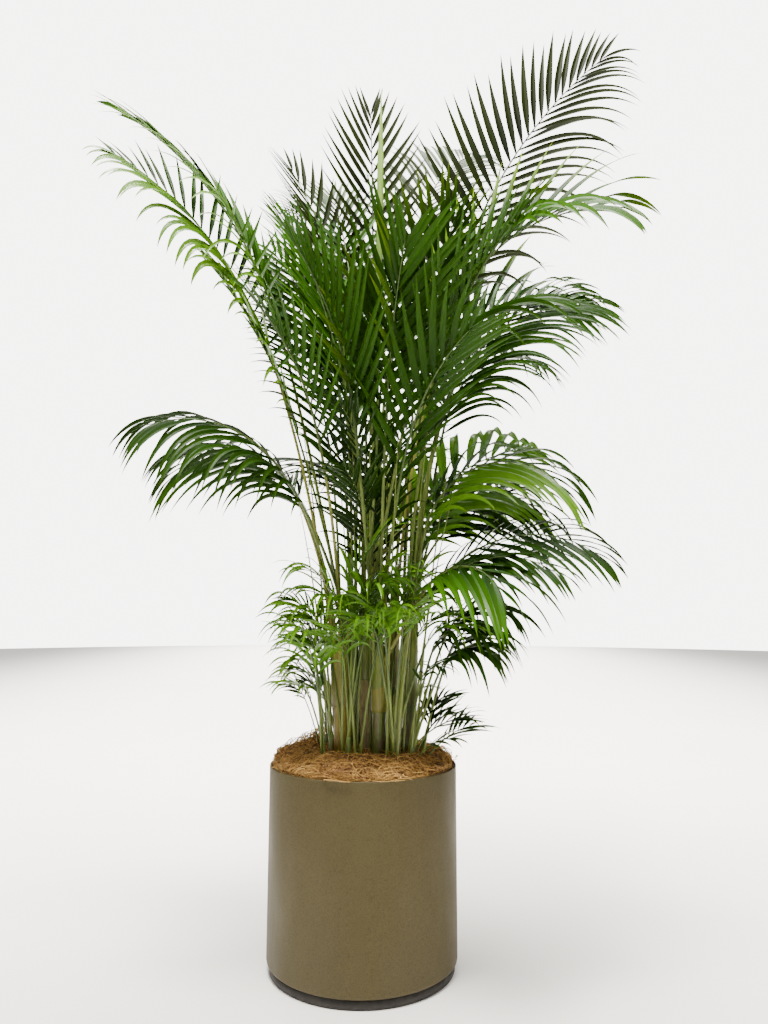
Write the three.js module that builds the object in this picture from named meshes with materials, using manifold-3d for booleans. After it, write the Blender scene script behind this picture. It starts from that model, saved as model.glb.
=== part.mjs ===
import * as THREE from 'three'
import Module from 'manifold-3d'

// A clump-forming areca palm in a plain cylindrical planter. Millimetres, +Z up.
// The origin is the centre of the planter's flat underside, +X is the plant's right
// and -Y is the side it is seen from.

const wasm = await Module()
wasm.setup()
const { Manifold, Mesh } = wasm

// The planter, a straight drum on a recessed dark base
const POT_DIAMETER = 400
const POT_TOP = 413
const POT_BOTTOM = 19.5
const POT_WALL = 6
const POT_FLOOR = 10
const POT_SIDES = 48
const FOOT_RADIUS = 194
const CLEAR = 0.3

// What fills it, potting mix below and a mounded mat of coir on top
const SOIL_TOP = 392
const MULCH_EDGE = 405
const PLATEAU = 422
const PLATEAU_RADIUS = 114
const PLATEAU_SHIFT = 25
const MULCH_BUMP = 4

// The canes
const CANE_SIDES = 10
const RING_STEP = 55
const RING_PROUD = 1.2
const BARE_SHARE = 0.42
const FLARE_HEIGHT = 14
const FLARE_SHARE = 0.9
const BARE_WIDTH = 0.82
const SHEATH_FOOT = 0.84
const SHEATH_BELLY = 1.02
const SHEATH_NECK = 0.93

// The fronds, rib sections across by deep, and the leaflets on them
const STALK_FOOT = [9, 8]
const STALK_TOP = [6.5, 7]
const RIB_END = [2.6, 3]
const STALK_PARTS = 6
const LEAF_PITCH = 69
const LEAF_WIDTH = 36
const WIDE_AT_LENGTH = 280
const LEAF_GAP = 0.74
const LONGEST_AT = 0.35
const SHORTER_FIRST = 0.4
const SHORTER_LAST = 0.55
const LEAF_THIN = 1.4
const LEAF_SLENDER = 95
const LEAF_FOOT = 15
const LEAF_BEND = 0.46
const TIP_SPREAD = 17
const CLOSING = 1.8
const SAG_NEAR = 0.05
const SAG_FAR = 0.58
const SPLIT_ARCH = 76
const SPLIT_AT = 0.42
const TEST_LIFT = 1.6
const TEST_FAT = 1.8

// Canes: foot x, foot y, height of the sheath's mouth over the coir, side it leans to,
// lean, radius at the foot, radius at the mouth
const CANES = {
  a: [-42, -24, 235, 200, 3.0, 22, 21],
  b: [-24, 34, 290, 150, 2.5, 20, 21],
  c: [6, -4, 330, 100, 1.5, 15, 17],
  d: [33, -44, 215, -70, 2.0, 17, 18],
  e: [55, 18, 310, 20, 1.5, 18, 19],
  f: [90, -18, 240, -15, 3.0, 20, 19],
  g: [66, -64, 150, -40, 4.0, 14, 14],
  h: [22, 64, 350, 85, 2.0, 19, 20],
  i: [92, 54, 280, 40, 3.0, 19, 21],
}

// Fronds: name, cane, place on the cane's mouth, heading, lean at the foot, bow of the stalk,
// stalk length, blade length, arch of the blade, roll about the rib, longest leaflet,
// spread from the rib, rise above the blade, droop. Angles in degrees.
const FRONDS = [
  ['high_right', 'i', 145, 10, -1, 19, 770, 860, 30, 70, 300, 60, 12, 12],
  ['arch_right', 'e', -45, -20, 4, 17, 670, 440, 85, 65, 290, 56, 8, 60],
  ['back_right', 'h', -50, 60, -2, 22, 780, 860, 45, 25, 260, 54, 20, 50],
  ['mid_right', 'f', 45, -5, 1, 13, 480, 480, 80, 45, 290, 56, 0, 60],
  ['mid_right_back', 'i', -65, 35, 9, 5, 450, 470, 90, 30, 240, 56, 0, 65],
  ['low_right_a', 'f', -50, -10, -2, 16, 240, 410, 135, 35, 255, 56, -10, 60],
  ['low_right_b', 'i', -140, -5, 3, 31, 220, 310, 115, 35, 235, 56, -10, 60],
  ['low_right_c', 'g', -10, -15, 0, 35, 200, 420, 95, 35, 210, 56, -10, 55],
  ['low_right_d', 'd', 0, -45, 40, -3, 160, 250, 115, 25, 240, 56, -15, 60],
  ['cross_right', 'a', 5, 20, 15, 25, 300, 390, 40, 50, 240, 50, 0, 40],
  ['high_left', 'b', 165, 190, 11, 4, 640, 690, 45, -20, 250, 44, 0, 60],
  ['arch_left', 'a', 150, 185, 8, 10, 620, 650, 42, -20, 220, 46, -5, 65],
  ['low_left', 'a', -140, 205, 6, 20, 320, 390, 90, -30, 270, 50, -20, 70],
  ['low_left_back', 'b', -105, 180, 16, 13, 290, 350, 110, -40, 260, 54, -20, 65],
  ['centre_high', 'h', 90, 100, 3, 1, 780, 500, 5, 0, 240, 46, 15, 15],
  ['centre_left', 'b', -15, 115, -2, 6, 570, 560, 30, -10, 260, 54, 10, 20],
  ['centre_front', 'c', -40, -55, 18, 2, 480, 350, 10, 10, 260, 48, 10, 20],
  ['centre_lean_left', 'c', 175, 175, -2, 13, 420, 520, 15, -25, 230, 50, 0, 40],
  ['back_a', 'h', 160, 100, 11, -2, 520, 620, 50, 0, 260, 56, 10, 50],
  ['back_b', 'i', 75, 65, 5, 10, 580, 560, 50, 0, 250, 56, 10, 50],
  ['back_c', 'b', 75, 120, 4, 8, 550, 580, 65, 0, 255, 56, 10, 50],
  ['low_back_a', 'h', 20, 80, 5, 20, 260, 370, 100, 0, 230, 56, 0, 55],
  ['low_back_b', 'h', -130, 125, 11, 25, 250, 350, 80, 0, 230, 56, 0, 55],
  ['low_back_c', 'i', 5, 50, 6, 26, 260, 370, 85, 0, 225, 56, 0, 55],
  ['front_a', 'd', -90, -80, 3, 9, 460, 420, 45, -25, 285, 44, 22, 28],
  ['front_b', 'd', 170, -125, 7, 4, 490, 400, 45, -35, 280, 44, 22, 32],
  ['front_right', 'f', -150, -50, 3, 13, 500, 450, 45, 35, 280, 44, 22, 32],
  ['mid_left', 'a', 80, 140, 1, 7, 380, 490, 45, -20, 180, 54, 10, 50],
  ['front_left', 'a', -65, 235, 4, 15, 440, 330, 45, -35, 230, 46, 20, 38],
]

// Shoots at the clump's foot: name, x, y, stem height, then small fronds as heading, lean,
// bow, stalk, blade, arch, roll, longest leaflet, spread, rise, droop
const SHOOTS = [
  ['left', -66, -54, 62,
    [190, 2, 8, 200, 110, 78, -25, 80, 52, 10, 45],
    [170, 8, 12, 90, 80, 85, 0, 62, 52, 10, 40],
    [230, 6, 10, 150, 120, 80, -10, 82, 52, 10, 45]],
  ['front', -28, -70, 56,
    [200, 3, 7, 270, 120, 75, -20, 88, 52, 5, 45],
    [10, 1, 2, 300, 140, 52, 10, 88, 46, 15, 30],
    [-60, 6, 8, 240, 130, 80, 10, 92, 52, 5, 45],
    [-15, 6, 8, 260, 120, 70, 10, 86, 50, 8, 40]],
  ['side', -80, 4, 50,
    [180, 3, 8, 230, 100, 80, -20, 90, 50, 5, 45],
    [200, 10, 12, 110, 80, 70, -20, 70, 52, 5, 40]],
  ['right', 104, -62, 36,
    [-5, 42, 10, 40, 90, 35, 15, 100, 46, 10, 30],
    [30, 20, 12, 60, 80, 45, 10, 86, 46, 12, 30],
    [5, 13, 10, 240, 150, 95, 20, 108, 50, -5, 58],
    [-25, 8, 10, 190, 130, 100, 10, 96, 50, -5, 58]],
  ['back', 30, 102, 56,
    [95, 12, 12, 170, 150, 78, 0, 92, 52, 5, 40],
    [50, 24, 12, 90, 120, 60, 0, 80, 52, 5, 40],
    [130, 14, 14, 120, 130, 70, 0, 82, 52, 5, 40]],
  ['middle', 26, 27, 330,
    [160, 2, 4, 120, 320, 46, -20, 190, 50, 10, 35],
    [-30, 3, 6, 150, 320, 52, 20, 190, 50, 10, 35],
    [-110, 4, 8, 60, 300, 60, 10, 175, 50, 8, 40],
    [60, 3, 6, 190, 330, 50, 0, 190, 50, 10, 35],
    [245, 3, 8, 200, 290, 55, -20, 180, 50, 8, 38]],
]

const rad = (degrees) => degrees * Math.PI / 180
const vec = (x, y, z) => new THREE.Vector3(x, y, z)
const mix = (a, b, t) => a + (b - a) * t
const UP = vec(0, 0, 1)

// Meshes

const group = new THREE.Group()

const add = (name, solid, colour, roughness) => {
  const geometry = new THREE.BufferGeometry()
  const flat = solid.points.flatMap((p) => [p.x, p.y, p.z])
  geometry.setAttribute('position', new THREE.Float32BufferAttribute(flat, 3))
  geometry.setIndex(solid.faces.flat())
  geometry.computeVertexNormals()
  const material = new THREE.MeshStandardMaterial({ color: colour, roughness })
  const mesh = new THREE.Mesh(geometry, material)
  mesh.name = name
  group.add(mesh)
}

const toManifold = (solid) => new Manifold(new Mesh({
  numProp: 3,
  vertProperties: new Float32Array(solid.points.flatMap((p) => [p.x, p.y, p.z])),
  triVerts: new Uint32Array(solid.faces.flat()),
}))

const fromManifold = (manifold) => {
  const mesh = manifold.getMesh()
  const points = []
  for (let i = 0; i < mesh.vertProperties.length; i += mesh.numProp) {
    points.push(vec(mesh.vertProperties[i], mesh.vertProperties[i + 1], mesh.vertProperties[i + 2]))
  }
  const faces = []
  for (let i = 0; i < mesh.triVerts.length; i += 3) {
    faces.push([mesh.triVerts[i], mesh.triVerts[i + 1], mesh.triVerts[i + 2]])
  }
  return { points, faces }
}

// A solid of stacked closed loops, each loop anticlockwise from above, with flat or
// pointed ends
const stack = (loops) => {
  const points = []
  const faces = []
  const starts = []
  for (const loop of loops) {
    starts.push(points.length)
    points.push(...loop)
  }
  for (let i = 0; i + 1 < loops.length; i++) {
    const n = Math.max(loops[i].length, loops[i + 1].length)
    for (let k = 0; k < n; k++) {
      const j = (k + 1) % n
      const a = starts[i] + (loops[i].length > 1 ? k : 0)
      const b = starts[i] + (loops[i].length > 1 ? j : 0)
      const c = starts[i + 1] + (loops[i + 1].length > 1 ? j : 0)
      const d = starts[i + 1] + (loops[i + 1].length > 1 ? k : 0)
      if (a !== b) faces.push([a, b, c])
      if (c !== d) faces.push([a, c, d])
    }
  }
  return { points, faces }
}

const ringAt = (x, y, z, r, n) => {
  const loop = []
  for (let k = 0; k < n; k++) {
    const angle = 2 * Math.PI * k / n
    loop.push(vec(x + r * Math.cos(angle), y + r * Math.sin(angle), z))
  }
  return loop
}

// Planter, base, soil and coir

const potRing = (r, z) => ringAt(0, 0, z, r, POT_SIDES)
const inside = POT_DIAMETER / 2 - POT_WALL
const floorTop = POT_BOTTOM + POT_FLOOR
const potLoops = [
  [vec(0, 0, POT_BOTTOM)],
  potRing(POT_DIAMETER / 2 - 4, POT_BOTTOM),
  potRing(POT_DIAMETER / 2, POT_BOTTOM + 4),
  potRing(POT_DIAMETER / 2, POT_TOP - 1.5),
  potRing(POT_DIAMETER / 2 - 1.5, POT_TOP),
  potRing(inside + 1.5, POT_TOP),
  potRing(inside, POT_TOP - 1.5),
  potRing(inside, floorTop),
  [vec(0, 0, floorTop)],
]
add('pot', stack(potLoops), 0x6e664c, 0.75)

const footTop = POT_BOTTOM - CLEAR
add('pot_foot', stack([
  [vec(0, 0, 0)],
  potRing(FOOT_RADIUS, 0),
  potRing(FOOT_RADIUS, footTop),
  [vec(0, 0, footTop)],
]), 0x1c1713, 0.8)

add('root_ball', stack([
  [vec(0, 0, floorTop + CLEAR)],
  potRing(inside - CLEAR, floorTop + CLEAR),
  potRing(inside - CLEAR, SOIL_TOP),
  [vec(0, 0, SOIL_TOP)],
]), 0x3a2a1c, 0.95)

// The coir swells a little more at the back left, as it was packed
const mulchHeight = (r, angle) => {
  const t = Math.min(1, Math.max(0, (r - PLATEAU_RADIUS) / (inside - PLATEAU_RADIUS)))
  const lumps = Math.sin(3 * angle + 0.7) + 0.7 * Math.sin(7 * angle + 2) + Math.cos(angle - rad(140))
  return mix(PLATEAU, MULCH_EDGE, t * t) + MULCH_BUMP * lumps * Math.sin(Math.PI * t)
}
const mulchLoop = (r) => {
  const loop = []
  for (let k = 0; k < POT_SIDES; k++) {
    const angle = 2 * Math.PI * k / POT_SIDES
    const t = (r - PLATEAU_RADIUS) / (inside - PLATEAU_RADIUS)
    const shift = PLATEAU_SHIFT * Math.max(0, 1 - t)
    loop.push(vec(shift + r * Math.cos(angle), r * Math.sin(angle), mulchHeight(r, angle)))
  }
  return loop
}
add('coir_mulch', stack([
  [vec(0, 0, SOIL_TOP + CLEAR)],
  potRing(inside - CLEAR, SOIL_TOP + CLEAR),
  mulchLoop(inside - CLEAR),
  mulchLoop(inside - 22),
  mulchLoop(mix(PLATEAU_RADIUS, inside, 0.4)),
  mulchLoop(PLATEAU_RADIUS),
  [vec(PLATEAU_SHIFT, 0, PLATEAU)],
]), 0xb07a48, 0.95)

// Canes: a flared foot, leaf-scar rings and the sheath, swollen half way up and drawn in
// below its mouth, both ends cut flat

const caneCentre = (cane, z) => {
  const [x, y, , side, lean] = CANES[cane]
  const out = (z - PLATEAU) * Math.tan(rad(lean))
  return vec(x + out * Math.cos(rad(side)), y + out * Math.sin(rad(side)), z)
}

for (const [cane, [, , height, , , footRadius, mouthRadius]] of Object.entries(CANES)) {
  const loops = []
  const level = (z, r) => {
    const c = caneCentre(cane, z)
    loops.push(ringAt(c.x, c.y, z, r, CANE_SIDES))
  }
  const foot = PLATEAU + CLEAR
  const top = PLATEAU + height
  const cap = caneCentre(cane, foot)
  loops.push([cap])
  level(foot, footRadius)
  level(foot + FLARE_HEIGHT, footRadius * FLARE_SHARE)
  const bare = height * BARE_SHARE
  for (let z = RING_STEP; z < bare; z += RING_STEP) {
    const r = mix(footRadius * FLARE_SHARE, mouthRadius * BARE_WIDTH, z / bare)
    level(foot + z - 3, r)
    level(foot + z, r + RING_PROUD)
    level(foot + z + 4, r - 0.3)
  }
  level(foot + bare + 12, mouthRadius * SHEATH_FOOT)
  level(foot + mix(bare, height, 0.4), mouthRadius * SHEATH_BELLY)
  level(top - 30, mouthRadius * SHEATH_NECK)
  level(top, mouthRadius)
  loops.push([caneCentre(cane, top)])
  add(`cane_${cane}`, stack(loops), 0x8b8c3e, 0.6)
}

// Frond spine: the lean and heading grow along the stalk and the blade

const asFrond = (row) => {
  const [heading, lean, bow, stalk, blade, arch, roll, leaf, spread, rise, droop] = row
  return { heading, lean, bow, stalk, blade, arch, roll, leaf, spread, rise, droop }
}

const leanAt = (f, s) => {
  const a = Math.min(s / f.stalk, 1)
  const u = Math.max(0, (s - f.stalk) / f.blade)
  return rad(f.lean + f.bow * a ** 1.3 + f.arch * u ** 1.25)
}

const towards = (lean, heading) => vec(
  Math.sin(lean) * Math.cos(heading),
  Math.sin(lean) * Math.sin(heading),
  Math.cos(lean),
)

// Places and frames along the spine: rib direction, across and upper side
const spineOf = (f, start) => {
  const heading = rad(f.heading)
  const length = f.stalk + f.blade
  const steps = 96
  const ds = length / steps
  const track = [start.clone()]
  for (let i = 0; i < steps; i++) {
    const t = towards(leanAt(f, (i + 0.5) * ds), heading)
    track.push(track[i].clone().addScaledVector(t, ds))
  }
  return (s) => {
    const k = Math.min(steps - 1, Math.max(0, Math.floor(s / ds)))
    const point = track[k].clone().lerp(track[k + 1], s / ds - k)
    const along = towards(leanAt(f, s), heading)
    const level = towards(leanAt(f, s) - Math.PI / 2, heading)
    const across = along.clone().cross(level)
    const turn = rad(f.roll) * Math.min(1, s / (f.stalk + 0.3 * f.blade))
    const upper = level.clone().multiplyScalar(Math.cos(turn)).addScaledVector(across, Math.sin(turn))
    return { point, along, upper, across: along.clone().cross(upper) }
  }
}

// A frond with short leaflets has a thinner rib
const ribSize = (f, s) => {
  const scale = Math.min(1, 0.25 + f.leaf / 330)
  if (s < f.stalk) return STALK_FOOT.map((v, i) => scale * mix(v, STALK_TOP[i], s / f.stalk))
  return STALK_TOP.map((v, i) => scale * mix(v, RIB_END[i], (s - f.stalk) / f.blade))
}

const ribLoop = (frame, [wide, deep]) => {
  const corner = (a, b) => frame.point.clone()
    .addScaledVector(frame.across, a * wide / 2)
    .addScaledVector(frame.upper, b * deep / 2)
  return [corner(-1, -1), corner(1, -1), corner(1, 1), corner(-1, 1)]
}

const leafLength = (f, u) => {
  if (u < LONGEST_AT) return f.leaf * (1 - SHORTER_FIRST * ((LONGEST_AT - u) / LONGEST_AT) ** 2)
  return f.leaf * (1 - SHORTER_LAST * ((u - LONGEST_AT) / (1 - LONGEST_AT)) ** 2)
}

// One leaflet as its bend and its tip, with its flat section at the bend
const leafShape = (f, frame, u, side, size, change) => {
  const spread = rad(mix(f.spread, TIP_SPREAD, u ** CLOSING) + change.spread)
  const rise = rad(f.rise * (1 - 0.5 * u) + change.rise)
  const sag = Math.tan(rad(f.droop + change.droop)) * 0.9
  const out = frame.across.clone().multiplyScalar(side * Math.cos(rise))
    .addScaledVector(frame.upper, Math.sin(rise))
  const first = frame.along.clone().multiplyScalar(Math.cos(spread)).addScaledVector(out, Math.sin(spread))
  const near = first.clone().addScaledVector(UP, -sag * SAG_NEAR).normalize()
  const far = first.clone().addScaledVector(UP, -sag * SAG_FAR).normalize()
  const length = leafLength(f, u) * change.length
  const root = frame.point.clone().addScaledVector(frame.across, side * size[0] / 2)
  const bend = root.clone().addScaledVector(near, length * LEAF_BEND)
  const tip = bend.clone().addScaledVector(far, length * (1 - LEAF_BEND))
  const course = near.clone().add(far).normalize()
  const flat = frame.along.clone().addScaledVector(course, -frame.along.dot(course)).normalize()
  const face = course.clone().cross(flat)
  if (face.dot(frame.upper) < 0) face.negate()
  return { root, near, bend, tip, flat, face, length }
}

const leafWidth = (f, u, pitch) => {
  const spread = rad(mix(f.spread, TIP_SPREAD, u ** CLOSING))
  return Math.min(LEAF_WIDTH * leafLength(f, u) / WIDE_AT_LENGTH, pitch * Math.sin(spread) * LEAF_GAP)
}

const leafThick = (leaf) => Math.max(LEAF_THIN, leaf.length / LEAF_SLENDER)

const leafLoop = (leaf, centre, wide, thick) => {
  const corner = (a, b) => centre.clone()
    .addScaledVector(leaf.flat, a * wide / 2)
    .addScaledVector(leaf.face, b * thick / 2)
  return [corner(-1, -1), corner(1, -1), corner(1, 1), corner(-1, 1)]
}

// Whatever already stands, kept with its box, so that no leaflet runs into it

const standing = []
const keep = (manifold, owner) => standing.push({ manifold, owner, box: manifold.boundingBox() })

const meets = (manifold, except, only = null) => {
  const box = manifold.boundingBox()
  for (const other of standing) {
    const apart = [0, 1, 2].some((i) => box.min[i] > other.box.max[i] || box.max[i] < other.box.min[i])
    if (apart || other.owner === except || (only && other.owner !== only)) continue
    if (!manifold.intersect(other.manifold).isEmpty()) return true
  }
  return false
}

const middle = (loop) => {
  const c = vec(0, 0, 0)
  for (const p of loop) c.add(p)
  return c.divideScalar(loop.length)
}

// A closed solid of loops that may run either way round
const closed = (loops) => {
  const solid = stack([[middle(loops[0])], ...loops, [middle(loops[loops.length - 1])]])
  let volume = 0
  for (const [a, b, c] of solid.faces) {
    volume += solid.points[a].dot(solid.points[b].clone().cross(solid.points[c]))
  }
  if (volume < 0) solid.faces = solid.faces.map(([a, b, c]) => [a, c, b])
  return toManifold(solid)
}

// How a leaflet in the way of something is set aside, the mildest change first
const CHANGES = [
  { spread: 0, rise: 0, droop: 0, length: 1 },
  { spread: 5, rise: 12, droop: 0, length: 1 },
  { spread: -5, rise: -14, droop: 0, length: 1 },
  { spread: 8, rise: 22, droop: -10, length: 0.94 },
  { spread: -8, rise: -24, droop: 4, length: 0.94 },
  { spread: 0, rise: 0, droop: -20, length: 0.8 },
  { spread: 12, rise: 10, droop: 0, length: 0.66 },
  { spread: -14, rise: -8, droop: 0, length: 0.66 },
]

// The leaflet in the first of these ways that meets nothing, or none
const chooseLeaf = (f, frame, u, side, size, pitch, owner) => {
  const wide = leafWidth(f, u, pitch)
  for (const change of CHANGES) {
    const leaf = leafShape(f, frame, u, side, size, change)
    leaf.wide = wide
    const base = leaf.root.clone().addScaledVector(leaf.near, TEST_LIFT / Math.sin(rad(20)))
    const loops = [
      leafLoop(leaf, base, LEAF_FOOT * 0.7, size[1]),
      leafLoop(leaf, leaf.bend, wide + TEST_FAT, leafThick(leaf) + TEST_FAT),
      leafLoop(leaf, leaf.tip, TEST_FAT, TEST_FAT),
    ]
    const away = leafLoop(leaf, leaf.root.clone().lerp(leaf.bend, 0.3), wide * 0.8, leafThick(leaf))
    const outer = closed([away, loops[1], loops[2]])
    const manifold = closed(loops)
    if (!meets(manifold, owner) && !meets(outer, null, owner)) {
      keep(manifold, `${owner}_leaf`)
      return leaf
    }
  }
  return null
}

// One frond as a plan: the stations along its rib and the leaflets that leave them
const planFrond = (name, f, start) => {
  const spine = spineOf(f, start)
  const length = f.stalk + f.blade
  const pairs = Math.max(4, Math.round(f.blade / LEAF_PITCH))
  const pitch = f.blade / (pairs + 0.4)
  const stations = []
  for (let i = 0; i <= STALK_PARTS; i++) {
    const s = i === 0 ? 0 : mix(14, f.stalk - 4, (i - 1) / (STALK_PARTS - 1))
    stations.push({ s, leaf: false })
  }
  for (let k = 0; k < pairs; k++) {
    const foot = Math.min(LEAF_FOOT, pitch * 0.34) * mix(1, 0.6, k / pairs)
    const s = f.stalk + (k + 0.35) * pitch
    stations.push({ s: s - foot / 2, leaf: true, root: s })
    stations.push({ s: s + foot / 2, leaf: false })
  }
  stations.push({ s: length, leaf: false })
  return { name, f, spine, stations, pitch, length }
}

const stationLoop = (plan, s) => {
  const frame = plan.spine(s)
  if (s === 0) {
    const h = rad(plan.f.heading)
    frame.upper = vec(-Math.cos(h), -Math.sin(h), 0)
    frame.across = UP.clone().cross(frame.upper)
  }
  return ribLoop(frame, ribSize(plan.f, s))
}

// A rib is kept in short straight lengths, a little fat
const keepRib = (plan) => {
  for (let i = 0; i + 1 < plan.stations.length; i++) {
    const ends = [plan.stations[i].s, plan.stations[i + 1].s]
    const loops = ends.map((s) => ribLoop(plan.spine(s), ribSize(plan.f, s).map((v) => v + TEST_FAT)))
    keep(closed(loops), plan.name)
  }
}

const chooseLeaves = (plan) => {
  for (const station of plan.stations) {
    if (!station.leaf) continue
    const frame = plan.spine(station.root)
    const u = (station.root - plan.f.stalk) / plan.f.blade
    const size = ribSize(plan.f, station.root)
    station.leaves = {}
    for (const side of [-1, 1]) {
      station.leaves[side] = chooseLeaf(plan.f, frame, u, side, size, plan.pitch, plan.name)
    }
  }
}

// The solid of one frond between two lengths, leaflets grown out of the rib's side faces
const frondSolid = (plan, from, to) => {
  const points = []
  const faces = []
  const put = (loop) => {
    points.push(...loop)
    return loop.map((_, i) => points.length - loop.length + i)
  }
  const quad = (a, b, c, d) => faces.push([a, b, c], [a, c, d])
  const run = plan.stations.filter((st) => st.s > from + 1 && st.s < to - 1)
  const stations = [{ s: from, leaf: false }, ...run, { s: to, leaf: false }]
  const rings = stations.map((st) => put(stationLoop(plan, st.s)))
  const leafFrom = (base, leaf, order) => {
    const loop = leafLoop(leaf, leaf.bend, leaf.wide, leafThick(leaf))
    const ring = put(order.map((i) => loop[i]))
    const [tip] = put([leaf.tip])
    for (let k = 0; k < 4; k++) {
      const j = (k + 1) % 4
      quad(base[k], base[j], ring[j], ring[k])
      faces.push([ring[k], ring[j], tip])
    }
  }
  for (let i = 0; i + 1 < rings.length; i++) {
    for (let k = 0; k < 4; k++) {
      const j = (k + 1) % 4
      const base = [rings[i][k], rings[i + 1][k], rings[i + 1][j], rings[i][j]]
      const leaves = stations[i].leaves
      if (k === 1 && leaves && leaves[1]) leafFrom(base, leaves[1], [0, 1, 2, 3])
      else if (k === 3 && leaves && leaves[-1]) leafFrom(base, leaves[-1], [3, 2, 1, 0])
      else quad(...base)
    }
  }
  const first = rings[0]
  const last = rings[rings.length - 1]
  quad(first[0], first[1], first[2], first[3])
  quad(last[3], last[2], last[1], last[0])
  return { points, faces }
}

// Each frond starts on the mouth of its cane's sheath
const plans = FRONDS.map(([name, cane, slot, ...row]) => {
  const f = asFrond(row)
  const [, , height, , , , mouth] = CANES[cane]
  const start = caneCentre(cane, PLATEAU + height + CLEAR)
  start.x += (mouth - 7) * Math.cos(rad(slot))
  start.y += (mouth - 7) * Math.sin(rad(slot))
  return planFrond(`frond_${name}`, f, start)
})

// Shoots: a short stem standing on the coir with a few small fronds joined to it
const shootPlans = SHOOTS.map(([name, x, y, height, ...rows]) => {
  const foot = PLATEAU + CLEAR
  const stem = [[7.5, 0], [5.5, 0.3], [5, 1]].map(([r, t]) => ringAt(x, y, foot + height * t, r, 8))
  const parts = rows.map((row, i) => planFrond(`shoot_${name}`, asFrond(row), vec(x, y, foot + height - 4)))
  return { name: `shoot_${name}`, stem, parts }
})

// Canes, coir, stems and ribs stand first, and the leaflets are chosen round them
for (const [cane, [, , height, , , footRadius, mouthRadius]] of Object.entries(CANES)) {
  const loops = [[0, footRadius], [0.45, footRadius + 2], [1, mouthRadius + 1]].map(([t, r]) => {
    const c = caneCentre(cane, PLATEAU + height * t)
    return ringAt(c.x, c.y, c.z, r + 1, CANE_SIDES)
  })
  keep(closed(loops), `cane_${cane}`)
}
keep(closed([ringAt(0, 0, POT_TOP, inside, 24), ringAt(0, 0, PLATEAU + MULCH_BUMP, inside, 24)]), 'coir')
for (const plan of plans) keepRib(plan)
for (const shoot of shootPlans) {
  keep(closed(shoot.stem), shoot.name)
  for (const plan of shoot.parts) keepRib(plan)
}
for (const plan of plans) chooseLeaves(plan)
for (const shoot of shootPlans) for (const plan of shoot.parts) chooseLeaves(plan)

// The fronds that arch over far are split in two where they bend
const GREENS = [0x3f7a2c, 0x4a8a33, 0x35692a, 0x558f38]
plans.forEach((plan, i) => {
  const colour = GREENS[i % GREENS.length]
  if (plan.f.arch < SPLIT_ARCH) {
    add(plan.name, frondSolid(plan, 0, plan.length), colour, 0.45)
    return
  }
  const cut = plan.stations.find((st) => !st.leaf && st.s > plan.f.stalk + SPLIT_AT * plan.f.blade)
  const middleCut = cut.s + plan.pitch * 0.3
  add(`${plan.name}_inner`, frondSolid(plan, 0, middleCut), colour, 0.45)
  add(`${plan.name}_outer`, frondSolid(plan, middleCut + CLEAR, plan.length), colour, 0.45)
})

for (const shoot of shootPlans) {
  let body = closed(shoot.stem)
  for (const plan of shoot.parts) body = body.add(toManifold(frondSolid(plan, 0, plan.length)))
  add(shoot.name, fromManifold(body), 0x6aa83c, 0.45)
}

export default group
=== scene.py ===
import math
import bmesh
import bpy
import numpy as np
from mathutils import Matrix


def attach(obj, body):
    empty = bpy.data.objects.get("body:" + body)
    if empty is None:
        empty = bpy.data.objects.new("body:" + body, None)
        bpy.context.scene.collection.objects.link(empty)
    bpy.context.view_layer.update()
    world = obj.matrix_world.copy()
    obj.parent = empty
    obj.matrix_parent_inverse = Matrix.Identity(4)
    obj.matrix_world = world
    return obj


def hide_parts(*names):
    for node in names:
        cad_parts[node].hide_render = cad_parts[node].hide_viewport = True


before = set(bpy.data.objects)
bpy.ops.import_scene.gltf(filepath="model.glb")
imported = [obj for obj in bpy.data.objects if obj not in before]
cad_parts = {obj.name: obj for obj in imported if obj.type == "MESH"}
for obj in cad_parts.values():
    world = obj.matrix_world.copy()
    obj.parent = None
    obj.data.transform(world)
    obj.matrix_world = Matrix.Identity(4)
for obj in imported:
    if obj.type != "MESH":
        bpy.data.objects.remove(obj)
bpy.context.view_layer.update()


# The place it stands: a plain pale floor in a white room, under a soft sun and large soft
# lamps overhead, behind and at both sides. The camera stands where the photograph was
# taken from, 1.76 m in front of the planter's axis and 0.75 m up, tilted up seven degrees.
def bare_material(name, colour, rough):
    material = bpy.data.materials.new(name)
    material.use_nodes = True
    shader = material.node_tree.nodes["Principled BSDF"]
    shader.inputs["Base Color"].default_value = (*colour, 1)
    shader.inputs["Roughness"].default_value = rough
    return material, material.node_tree, shader


def paint(tree, shader, colour):
    tree.links.new(colour, shader.inputs["Base Color"])


def stand(name, mesh, slot=None):
    """Puts a finished mesh in the scene. With a slot it is a piece of the plant's one body."""
    piece = bpy.data.objects.new(name, mesh)
    bpy.context.scene.collection.objects.link(piece)
    if slot:
        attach(piece, "root")
    return piece


def keep(shape, name, material, slot=None):
    mesh = bpy.data.meshes.new(name)
    shape.to_mesh(mesh)
    shape.free()
    mesh.materials.append(material)
    return stand(name, mesh, slot)


def add_node(tree, kind, sockets, **settings):
    """A shader node with each socket set to a value or linked to another node's output."""
    node = tree.nodes.new("ShaderNode" + kind)
    for setting, value in settings.items():
        setattr(node, setting, value)
    for socket, value in sockets.items():
        if isinstance(value, bpy.types.NodeSocket):
            tree.links.new(value, node.inputs[socket])
        else:
            node.inputs[socket].default_value = value
    return node


def blend_colour(tree, factor, a, b, way="MIX"):
    a, b = ((*value, 1) if isinstance(value, tuple) else value for value in (a, b))
    node = add_node(tree, "Mix", {"Factor": factor, 6: a, 7: b}, data_type="RGBA", blend_type=way)
    return node.outputs[2]


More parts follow.
